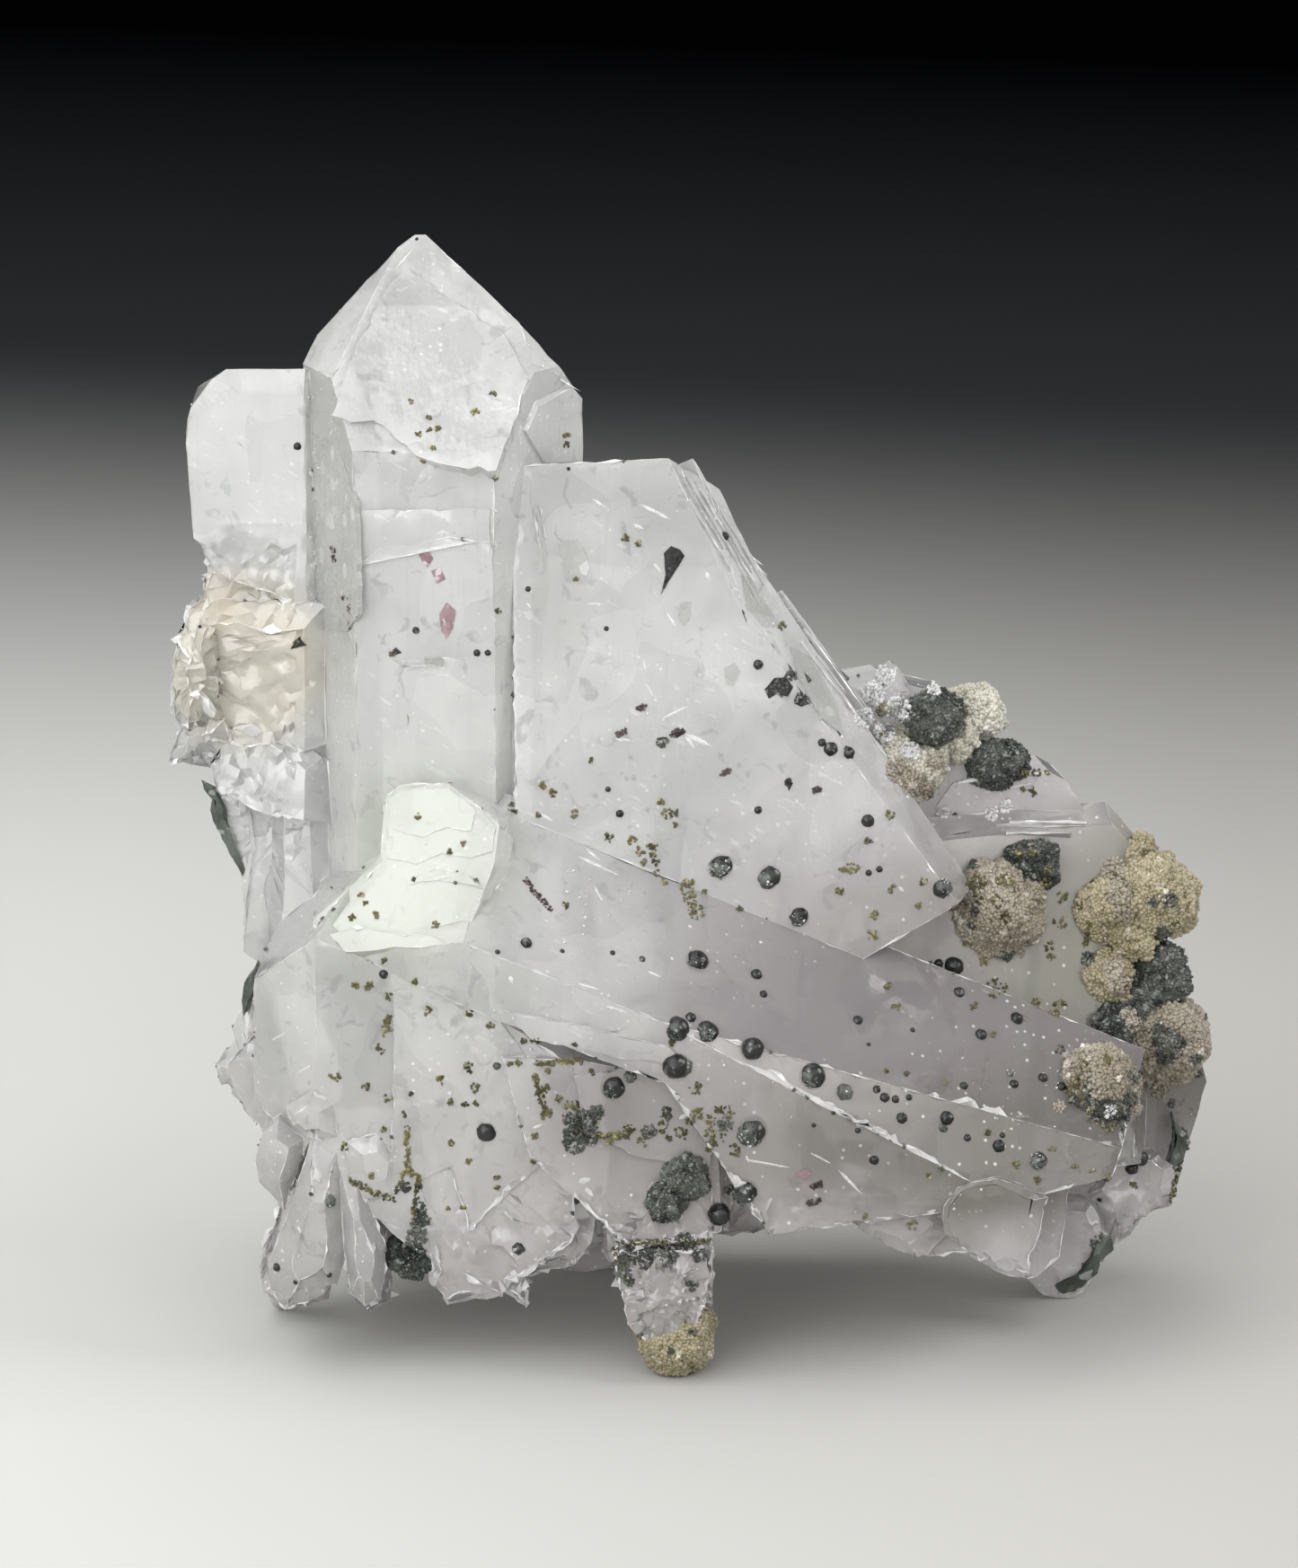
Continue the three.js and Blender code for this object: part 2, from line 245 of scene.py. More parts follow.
class Graph:
    """A short way to write node trees."""

    def __init__(self, tree: bpy.types.NodeTree) -> None:
        """Keeps the tree that nodes are added to."""
        self.tree = tree

    def node(self, kind: str, settings: dict | None = None, **inputs: object) -> bpy.types.Node:
        """Adds a node.

        Args:
            kind: the node's type.
            settings: properties to set on the node.
            inputs: values or output sockets, by socket name with _ for a space.

        Returns:
            The node.
        """
        made = self.tree.nodes.new(kind)
        for name, value in (settings or {}).items():
            setattr(made, name, value)
        for name, value in inputs.items():
            self.feed(made.inputs[name.replace("_", " ")], value)
        return made

    def feed(self, socket: bpy.types.NodeSocket, value: object) -> None:
        """Links an output to a socket, or sets the socket's own value.

        Args:
            socket: the input socket.
            value: an output socket or a plain value.
        """
        if isinstance(value, bpy.types.NodeSocket):
            self.tree.links.new(value, socket)
        else:
            socket.default_value = value

    def math(self, operation: str, *values: object, clamp: bool = False) -> bpy.types.NodeSocket:
        """Adds a Math node and returns its output."""
        made = self.node("ShaderNodeMath", {"operation": operation, "use_clamp": clamp})
        for socket, value in zip(made.inputs, values):
            self.feed(socket, value)
        return made.outputs[0]

    def ramp(self, value: object, low: float, high: float, to_low: float = 0.0, to_high: float = 1.0) -> object:
        """Adds a clamped Map Range node and returns its output.

        Args:
            value: the socket to map.
            low: the value that becomes to_low.
            high: the value that becomes to_high.
            to_low: the output at the low end.
            to_high: the output at the high end.

        Returns:
            The node's output socket.
        """
        made = self.node(
            "ShaderNodeMapRange",
            Value=value, From_Min=low, From_Max=high, To_Min=to_low, To_Max=to_high,
        )
        return made.outputs["Result"]

    def mix(self, share: object, first: object, second: object) -> bpy.types.NodeSocket:
        """Adds a colour Mix node and returns its output."""
        made = self.tree.nodes.new("ShaderNodeMix")
        made.data_type = "RGBA"
        self.feed(made.inputs[0], share)
        self.feed(made.inputs[6], first)
        self.feed(made.inputs[7], second)
        return made.outputs[2]


def colour(red: float, green: float, blue: float) -> tuple[float, float, float, float]:
    """A display colour from 0 to 255 as the linear one that nodes take.

    Args:
        red: the red part.
        green: the green part.
        blue: the blue part.

    Returns:
        Linear red, green, blue and a full alpha.
    """
    return (*((part / 255) ** 2.2 for part in (red, green, blue)), 1.0)


class GrainTexture:
    """A shader node group: a mask of grains, their grey and a fine height, at a named size."""

    name = "mineral grain"

    def tree(self) -> bpy.types.NodeTree:
        """Builds the group once and returns it."""
        found = bpy.data.node_groups.get(self.name)
        if found:
            return found
        tree = bpy.data.node_groups.new(self.name, "ShaderNodeTree")
        for name, value in (("Grains per metre", 3000.0), ("Softness", 0.5)):
            socket = tree.interface.new_socket(name=name, in_out="INPUT", socket_type="NodeSocketFloat")
            socket.default_value = value
        for name in ("Mask", "Patches", "Height"):
            tree.interface.new_socket(name=name, in_out="OUTPUT", socket_type="NodeSocketFloat")
        graph = Graph(tree)
        given = graph.node("NodeGroupInput")
        places = graph.node("ShaderNodeTexCoord").outputs["Object"]
        cells = graph.node("ShaderNodeTexVoronoi", Vector=places, Scale=given.outputs["Grains per metre"])
        coarse = graph.math("MULTIPLY", given.outputs["Grains per metre"], 0.12)
        cloud = graph.node("ShaderNodeTexNoise", Vector=places, Scale=coarse, Detail=4.0, Roughness=0.6)
        shades = graph.node("ShaderNodeSeparateColor", Color=cells.outputs["Color"])
        soft = graph.math("MULTIPLY", cells.outputs["Distance"], given.outputs["Softness"])
        out = graph.node("NodeGroupOutput")
        graph.feed(out.inputs["Mask"], shades.outputs["Red"])
        graph.feed(out.inputs["Patches"], cloud.outputs["Fac"])
        graph.feed(out.inputs["Height"], graph.math("SUBTRACT", 1.0, soft))
        return tree

    def use(self, graph: Graph, per_metre: float, softness: float = 0.5) -> bpy.types.Node:
        """Places the group in a material.

        Args:
            graph: the material's graph.
            per_metre: grains along a metre.
            softness: how deep the grains' joints are.

        Returns:
            The group node.
        """
        made = graph.tree.nodes.new("ShaderNodeGroup")
        made.node_tree = self.tree()
        made.inputs["Grains per metre"].default_value = per_metre
        made.inputs["Softness"].default_value = softness
        return made


def new_material(name: str) -> tuple[bpy.types.Material, Graph, bpy.types.Node]:
    """A material with its graph and its Principled shader."""
    material = bpy.data.materials.new(name)
    material.use_nodes = True
    graph = Graph(material.node_tree)
    return material, graph, material.node_tree.nodes["Principled BSDF"]


class QuartzMarks:
    """A shader node group: masks of the streaks (partly painted glints), smudges and crumbs in quartz, and its clouds.
    """

    name = "quartz marks"

    def tree(self) -> bpy.types.NodeTree:
        """Builds the group once and returns it."""
        found = bpy.data.node_groups.get(self.name)
        if found:
            return found
        tree = bpy.data.node_groups.new(self.name, "ShaderNodeTree")
        socket = tree.interface.new_socket(name="Fineness", in_out="INPUT", socket_type="NodeSocketFloat")
        socket.default_value = 1.0
        for name in ("Streaks", "Smudges", "Crumbs", "Clouds", "Brushing", "Facets"):
            tree.interface.new_socket(name=name, in_out="OUTPUT", socket_type="NodeSocketFloat")
        graph = Graph(tree)
        given = graph.node("NodeGroupInput")
        places = graph.node("ShaderNodeTexCoord").outputs["Object"]
        scaled = graph.node("ShaderNodeVectorMath", {"operation": "SCALE"}, Scale=given.outputs["Fineness"])
        graph.feed(scaled.inputs[0], places)
        spot = scaled.outputs["Vector"]
        patches = graph.node("ShaderNodeTexNoise", Vector=spot, Scale=150.0, Detail=1.0).outputs["Fac"]
        near = graph.ramp(patches, 0.44, 0.58)
        slanted = graph.node(
            "ShaderNodeMapping", {"vector_type": "TEXTURE"},
            Vector=spot, Rotation=(0.1, 2.1, 0.0), Scale=(1.0, 1.0, 2.6),
        )
        lines = graph.node(
            "ShaderNodeTexNoise", Vector=slanted.outputs["Vector"], Scale=2300.0, Detail=2.0,
        )
        cells = graph.node("ShaderNodeTexVoronoi", Vector=spot, Scale=1700.0)
        picked = graph.node("ShaderNodeSeparateColor", Color=cells.outputs["Color"])
        dots = graph.math(
            "MULTIPLY", graph.ramp(cells.outputs["Distance"], 0.14, 0.24, 1.0, 0.0),
            graph.ramp(picked.outputs["Red"], 0.72, 0.78),
        )
        smears = graph.node("ShaderNodeTexNoise", Vector=spot, Scale=620.0, Detail=2.0, Distortion=1.2)
        upright = graph.node("ShaderNodeMapping", Vector=spot, Scale=(1.0, 1.0, 0.07))
        brush = graph.node("ShaderNodeTexNoise", Vector=upright.outputs["Vector"], Scale=2600.0, Detail=1.0)
        clouds = graph.node("ShaderNodeTexNoise", Vector=spot, Scale=75.0, Detail=3.0, Roughness=0.62)
        bend = graph.node("ShaderNodeTexNoise", Vector=spot, Scale=240.0, Detail=0.0)
        bent = graph.node("ShaderNodeVectorMath", {"operation": "MULTIPLY_ADD"})
        graph.feed(bent.inputs[0], bend.outputs["Color"])
        bent.inputs[1].default_value = (0.003, 0.003, 0.003)
        graph.feed(bent.inputs[2], spot)
        planes = graph.node("ShaderNodeTexVoronoi", Vector=bent.outputs["Vector"], Scale=190.0)
        shades = graph.node("ShaderNodeSeparateColor", Color=planes.outputs["Color"])
        out = graph.node("NodeGroupOutput")
        graph.feed(out.inputs["Facets"], shades.outputs["Red"])
        # streaks: the mask of white streaks, partly painted glints
        streaks = graph.math("MULTIPLY", graph.ramp(lines.outputs["Fac"], 0.62, 0.72), near)
        graph.feed(out.inputs["Streaks"], streaks)
        far = graph.ramp(patches, 0.5, 0.6, 1.0, 0.15)
        graph.feed(out.inputs["Smudges"], graph.math("MULTIPLY", graph.ramp(smears.outputs["Fac"], 0.6, 0.7), far))
        graph.feed(out.inputs["Crumbs"], graph.math("MULTIPLY", dots, near))
        graph.feed(out.inputs["Clouds"], clouds.outputs["Fac"])
        graph.feed(out.inputs["Brushing"], brush.outputs["Fac"])
        return tree

    def use(self, graph: Graph, fineness: float) -> bpy.types.Node:
        """Places the group in a material.

        Args:
            graph: the material's graph.
            fineness: how much finer than usual the marks are.

        Returns:
            The group node.
        """
        made = graph.tree.nodes.new("ShaderNodeGroup")
        made.node_tree = self.tree()
        made.inputs["Fineness"].default_value = fineness
        return made


@dataclass(frozen=True)
class ClearQuartz:
    """See-through quartz with milky clouds, white streaks that are partly painted glints, stained lumps, painted shade
    on its lower right, bottom, side faces and hollow, and worn edges painted white as rim highlights.
    """

    name: str = "clear_quartz"
    clear: float = 0.56
    ior: float = 1.544
    absorption: float = 6.0
    shine: float = 0.03
    haze: float = 0.2
    relief: float = 0.25
    hills: float = 380.0
    fineness: float = 1.0
    milk: tuple = colour(236, 236, 235)
    grey: tuple = colour(211, 212, 210)
    shade: tuple = colour(190, 191, 189)
    lilac: tuple = colour(224, 216, 222)
    pearl: tuple = colour(226, 232, 214)
    # painted shade for the hollow at cavity_place
    hollow_shade: tuple = colour(150, 145, 145)
    # white for the streaks and the worn edges, where it is partly painted highlight, and for the crumbs
    streak: tuple = colour(255, 255, 255)
    smudge: tuple = colour(172, 174, 176)
    # painted shade: the grey that the lower right and the bottom are darkened towards
    painted_shade: tuple = colour(170, 165, 161)
    # painted shade for the faces turned like the lying crystal's top
    facing_shade: tuple = colour(146, 140, 143)
    # painted shade for the band under the lying crystal
    under_shade: tuple = colour(116, 112, 106)
    # a greenish grey tint and painted shade for a band at the right
    moss_and_shade: tuple = colour(148, 146, 134)
    # painted shade for the left-facing faces high up
    side: tuple = colour(196, 197, 190)
    cream: tuple = colour(225, 217, 198)
    rust: tuple = colour(204, 180, 138)
    lump_place: tuple[float, float, float] = (-30.2, -0.6, 45.5)
    tip_place: tuple[float, float, float] = (-19.0, -11.5, 33.5)
    cavity_place: tuple[float, float, float] = (-6.8, -16.6, 19.0)
    lying_top: tuple[float, float, float] = (0.311, -0.588, 0.747)

    def build(self) -> bpy.types.Material:
        """Makes the material."""
        material, graph, shader = new_material(self.name)
        places = graph.node("ShaderNodeTexCoord").outputs["Object"]
        marks = QuartzMarks().use(graph, self.fineness)
        worn = graph.node("ShaderNodeAttribute", {"attribute_name": "worn"}).outputs["Fac"]
        graph.feed(shader.inputs["Base Color"], self.tints(graph, places, marks.outputs, worn))
        rough = graph.ramp(marks.outputs["Clouds"], 0.35, 0.65, self.shine, self.haze)
        graph.feed(shader.inputs["Roughness"], rough)
        shader.inputs["IOR"].default_value = self.ior
        shader.inputs["Transmission Weight"].default_value = self.clear
        graph.feed(shader.inputs["Normal"], self.growth_lines(graph, places, marks.outputs))
        volume = graph.node("ShaderNodeVolumeAbsorption", Density=self.absorption)
        volume.inputs["Color"].default_value = (0.94, 0.935, 0.935, 1.0)
        out = material.node_tree.nodes["Material Output"]
        graph.feed(out.inputs["Volume"], volume.outputs["Volume"])
        return material

    def tints(self, graph: Graph, places: object, marks: object, worn: object) -> bpy.types.NodeSocket:
        """The colours: milk and grey clouds, marks with partly painted glints, painted shade on the lower right, the
        bottom, a band at the right, the band under the lying crystal, the faces turned like its top, the high left
        faces and the hollow, the stained lump, and worn edges painted white as rim highlights.

        Args:
            graph: the material's graph.
            places: object coordinates.
            marks: the outputs of the quartz marks.
            worn: 1 on a worn edge, which is painted white as a rim highlight.

        Returns:
            The colour.
        """
        tint = graph.mix(graph.ramp(marks["Clouds"], 0.4, 0.6), self.grey, self.milk)
        tint = graph.mix(graph.ramp(marks["Facets"], 0.1, 1.0, 0.0, 0.4), tint, self.shade)
        tint = graph.mix(graph.ramp(marks["Brushing"], 0.55, 0.75, 0.0, 0.3), tint, self.grey)
        parts = graph.node("ShaderNodeSeparateXYZ", Vector=places)
        slope = graph.math("MULTIPLY_ADD", parts.outputs["Z"], -0.9, parts.outputs["X"])
        tint = graph.mix(graph.ramp(slope, -36 * MM, -16 * MM, 0.0, 0.45), tint, self.lilac)
        tint = graph.mix(graph.math("MULTIPLY", marks["Smudges"], 0.55), tint, self.smudge)
        # white streaks, partly painted glints
        tint = graph.mix(graph.math("MULTIPLY", marks["Streaks"], 0.5), tint, self.streak)
        # painted shade: darker towards the lower right, away from the key light
        dimming = graph.ramp(slope, -30 * MM, -8 * MM, 0.0, 0.95)
        ends = graph.math(
            "MULTIPLY", graph.ramp(parts.outputs["Z"], 12 * MM, 15 * MM, 0.3, 1.0),
            graph.ramp(parts.outputs["Z"], 31 * MM, 36 * MM, 1.0, 0.2),
        )
        tint = graph.mix(graph.math("MULTIPLY", dimming, ends), tint, self.painted_shade)
        # greenish grey tint and painted shade on a band at the right
        moss_and_shade_share = graph.math("MULTIPLY", graph.ramp(slope, -6 * MM, 2 * MM), graph.ramp(slope, 7 * MM, 11 * MM, 1.0, 0.0))
        moss_and_shade_share = graph.math("MULTIPLY", moss_and_shade_share, graph.ramp(parts.outputs["X"], 14 * MM, 20 * MM))
        tint = graph.mix(moss_and_shade_share, tint, self.moss_and_shade)
        # painted shade: darker towards the bottom, except on the right
        low = graph.math(
            "MULTIPLY", graph.ramp(parts.outputs["Z"], 14 * MM, 30 * MM, 0.4, 0.0),
            graph.ramp(parts.outputs["X"], 6 * MM, 16 * MM, 1.0, 0.0),
        )
        tint = graph.mix(low, tint, self.painted_shade)
        normal = graph.node("ShaderNodeNewGeometry").outputs["Normal"]
        along = graph.node("ShaderNodeVectorMath", {"operation": "DOT_PRODUCT"})
        graph.feed(along.inputs[0], normal)
        along.inputs[1].default_value = self.lying_top
        # painted shade: faces turned like the lying crystal's top, towards the right, are darkened
        facing_shade_share = graph.math(
            "MULTIPLY", graph.ramp(along.outputs["Value"], 0.95, 0.985),
            graph.ramp(slope, -40 * MM, -16 * MM, 0.1, 0.8),
        )
        tint = graph.mix(facing_shade_share, tint, self.facing_shade)
        # painted shade: a dark band low on the right, under the lying crystal
        under_shade_share = graph.math(
            "MULTIPLY", graph.ramp(parts.outputs["Z"], 18 * MM, 22 * MM, 0.75, 0.0),
            graph.ramp(parts.outputs["Z"], 9 * MM, 13 * MM),
        )
        under_shade_share = graph.math("MULTIPLY", under_shade_share, graph.ramp(parts.outputs["X"], 0.0, 17 * MM))
        tint = graph.mix(under_shade_share, tint, self.under_shade)
        facing = graph.node("ShaderNodeSeparateXYZ", Vector=normal)
        # painted shade: the left-facing faces high up are greyer
        left_face_shade = graph.math(
            "MULTIPLY", graph.ramp(facing.outputs["X"], -0.9, -0.75, 0.7, 0.0),
            graph.ramp(parts.outputs["Z"], 42 * MM, 50 * MM),
        )
        tint = graph.mix(left_face_shade, tint, self.side)
        # painted shade in the hollow
        tint = graph.mix(self.near(graph, places, self.cavity_place, 2.4, 5.2, 0.6), tint, self.hollow_shade)
        tint = graph.mix(self.near(graph, places, self.tip_place, 5.0, 9.0, 0.6), tint, self.pearl)
        tint = graph.mix(graph.math("MULTIPLY", marks["Crumbs"], 0.8), tint, self.streak)
        stain = graph.mix(graph.ramp(marks["Clouds"], 0.5, 0.62, 0.0, 0.8), self.cream, self.rust)
        tint = graph.mix(self.near(graph, places, self.lump_place, 4.6, 6.8, 0.75), tint, stain)
        # painted highlight: the worn edges are mixed towards white, as rim light
        return graph.mix(graph.math("MULTIPLY", worn, 0.8), tint, self.streak)

    @staticmethod
    def near(graph: Graph, places: object, middle: tuple, inner: float, outer: float, most: float) -> object:
        """A soft ball-shaped mask.

        Args:
            graph: the material's graph.
            places: object coordinates.
            middle: the ball's middle, in mm.
            inner: the radius where it begins to fade, in mm.
            outer: its radius, in mm.
            most: the mask's value in the middle.

        Returns:
            The mask.
        """
        away = graph.node("ShaderNodeVectorMath", {"operation": "DISTANCE"})
        graph.feed(away.inputs[0], places)
        away.inputs[1].default_value = [part * MM for part in middle]
        return graph.ramp(away.outputs["Value"], inner * MM, outer * MM, most, 0.0)

    def growth_lines(self, graph: Graph, places: object, marks: object) -> bpy.types.NodeSocket:
        """Fine lines across the prism faces and a slight unevenness.

        Args:
            graph: the material's graph.
            places: object coordinates.
            marks: the outputs of the quartz marks.

        Returns:
            A normal.
        """
        hills = graph.node("ShaderNodeTexNoise", Vector=places, Scale=self.hills, Detail=1.0)
        rise = graph.math("ADD", self.near(graph, places, self.tip_place, 5.0, 9.0, 8.0), 3.0)
        height = graph.math("MULTIPLY_ADD", hills.outputs["Fac"], rise, marks["Brushing"])
        bump = graph.node("ShaderNodeBump", Strength=self.relief, Distance=0.05 * MM, Height=height)
        return bump.outputs["Normal"]


@dataclass(frozen=True)
class StoneFinish:
    """An opaque mineral with two tints, light specks that are partly painted glints, and a grainy surface."""

    name: str
    dark: tuple
    light: tuple
    speck: tuple
    specks: float
    roughness: float
    grains_per_metre: float
    glow: float = 0.0
    rough_grain: float = 0.4

    def build(self) -> bpy.types.Material:
        """Makes the material."""
        material, graph, shader = new_material(self.name)
        grain = GrainTexture().use(graph, self.grains_per_metre)
        tint = graph.mix(graph.ramp(grain.outputs["Patches"], 0.38, 0.62), self.dark, self.light)
        # light specks: light grains, partly painted glints
        bright = graph.ramp(grain.outputs["Mask"], 1.0 - self.specks, 1.0 - self.specks + 0.04)
        graph.feed(shader.inputs["Base Color"], graph.mix(bright, tint, self.speck))
        rough = graph.ramp(grain.outputs["Mask"], 0.0, 1.0, self.roughness - 0.15, self.roughness + 0.15)
        graph.feed(shader.inputs["Roughness"], rough)
        bump = graph.node("ShaderNodeBump", Strength=self.rough_grain, Distance=0.05 * MM, Height=grain.outputs["Height"])
        graph.feed(shader.inputs["Normal"], bump.outputs["Normal"])
        shader.inputs["Transmission Weight"].default_value = self.glow
        return material


@dataclass(frozen=True)
class VeilFinish:
    """A white film with holes, as a healed crack has."""

    white: tuple = colour(250, 250, 250)
    cells_per_metre: float = 900.0

    def build(self) -> bpy.types.Material:
        """Makes the material."""
        material, graph, shader = new_material("healed_crack")
        places = graph.node("ShaderNodeTexCoord").outputs["Object"]
        film = graph.node(
            "ShaderNodeTexNoise", Vector=places, Scale=self.cells_per_metre, Detail=2.0, Roughness=0.7,
        )
        graph.feed(shader.inputs["Alpha"], graph.ramp(film.outputs["Fac"], 0.44, 0.64, 0.0, 0.95))
        shader.inputs["Base Color"].default_value = self.white
        shader.inputs["Roughness"].default_value = 0.25
        return material


FINISHES = {
    "pale": StoneFinish(
        "pale_analcime", colour(170, 167, 151), colour(203, 200, 187), colour(242, 240, 234), 0.05, 0.3, 2400.0, 0.15, 0.1,
    ),
    "warm": StoneFinish(
        "warm_analcime", colour(138, 129, 102), colour(167, 158, 131), colour(212, 205, 188), 0.04, 0.3, 2400.0, 0.15, 0.1,
    ),
    "rosy": StoneFinish(
        "rosy_analcime", colour(134, 125, 109), colour(162, 154, 139), colour(210, 204, 194), 0.04, 0.3, 2400.0, 0.15, 0.1,
    ),
    "chlorite": StoneFinish(
        "dark_chlorite", colour(44, 46, 43), colour(84, 87, 82), colour(126, 130, 124), 0.09, 0.4, 4200.0,
    ),
    "silver": StoneFinish(
        "silver_grain", colour(74, 78, 72), colour(124, 128, 122), colour(204, 207, 204), 0.22, 0.35, 4200.0,
    ),
    "spherule": StoneFinish(
        "black_spherule", colour(15, 16, 16), colour(38, 40, 39), colour(104, 106, 102), 0.05, 0.3, 4200.0,
    ),
    "green": StoneFinish(
        "green_crust", colour(52, 58, 52), colour(96, 102, 94), colour(136, 142, 134), 0.1, 0.3, 2400.0, 0.2,
    ),
    "olive": StoneFinish(
        "olive_grain", colour(58, 56, 34), colour(106, 100, 62), colour(150, 144, 104), 0.1, 0.45, 3800.0,
    ),
    "brown": StoneFinish(
        "brown_flake", colour(52, 42, 40), colour(84, 72, 70), colour(120, 108, 106), 0.1, 0.4, 4000.0,
    ),
    "pink": StoneFinish(
        "pink_flake", colour(134, 104, 110), colour(176, 150, 156), colour(214, 204, 206), 0.15, 0.4, 4000.0, 0.3,
    ),
    "white": StoneFinish(
        "quartz_sugar", colour(226, 226, 224), colour(248, 248, 248), colour(255, 255, 255), 0.3, 0.2, 3000.0, 0.5,
    ),
    "smoky": StoneFinish(
        "smoky_window", colour(206, 207, 203), colour(222, 222, 219), colour(246, 246, 245), 0.06, 0.25, 1300.0, 0.6,
    ),
}


class CrystalGrains:
    """The small crystals that crusts and specks are made of, each of a few dozen faces at most."""

    @staticmethod
    def dodecahedron() -> bpy.types.Object:
        """A sugar crystal of 12 rhombs, one unit in radius."""
        form = bmesh.new()
        half = 1 / 2
        signs = (-1, 1)
        corner = {
            (x, y, z): form.verts.new((x * half, y * half, z * half))
            for x in signs for y in signs for z in signs
        }
        for axis in range(3):
            for side in signs:
                tip = form.verts.new([side if k == axis else 0 for k in range(3)])
                near = [key for key in corner if key[axis] == side]
                others = [k for k in range(3) if k != axis]
                near.sort(key=lambda key: math.atan2(key[others[1]], key[others[0]]))
                for k, key in enumerate(near):
                    form.faces.new((tip, corner[key], corner[near[(k + 1) % 4]]))
        bmesh.ops.recalc_face_normals(form, faces=form.faces)
        for face in form.faces:
            face.smooth = True
        return link_bmesh("grain_dodecahedron", form)

    @staticmethod
    def octahedron() -> bpy.types.Object:
        """A grain of 8 faces, one unit in radius and a little flat."""
        form = bmesh.new()
        bmesh.ops.create_cone(form, segments=4, radius1=1, radius2=0, depth=0.8, cap_ends=False)
        bmesh.ops.translate(form, vec=(0, 0, 0.4), verts=form.verts)
        copy = bmesh.ops.duplicate(form, geom=form.verts[:] + form.edges[:] + form.faces[:])
        twin = [item for item in copy["geom"] if isinstance(item, bmesh.types.BMVert)]
        bmesh.ops.scale(form, vec=(1, 1, -1), verts=twin)
        bmesh.ops.remove_doubles(form, verts=form.verts, dist=0.01)
        bmesh.ops.recalc_face_normals(form, faces=form.faces)
        return link_bmesh("grain_octahedron", form)

    @staticmethod
    def lump(seed: int, subdivisions: int, rough: float) -> bpy.types.Object:
        """A small uneven ball, one unit in radius.

        Args:
            seed: what the unevenness starts from.
            subdivisions: how fine it is.
            rough: how uneven it is.

        Returns:
            The object.
        """
        form = bmesh.new()
        bmesh.ops.create_icosphere(form, subdivisions=subdivisions, radius=1)
        for vert in form.verts:
            swell = noise.noise(vert.co * 2.2 + Vector((seed, 0, 0)))
            vert.co *= 1 + rough * swell
        for face in form.faces:
            face.smooth = True
        return link_bmesh(f"grain_lump_{seed}", form)


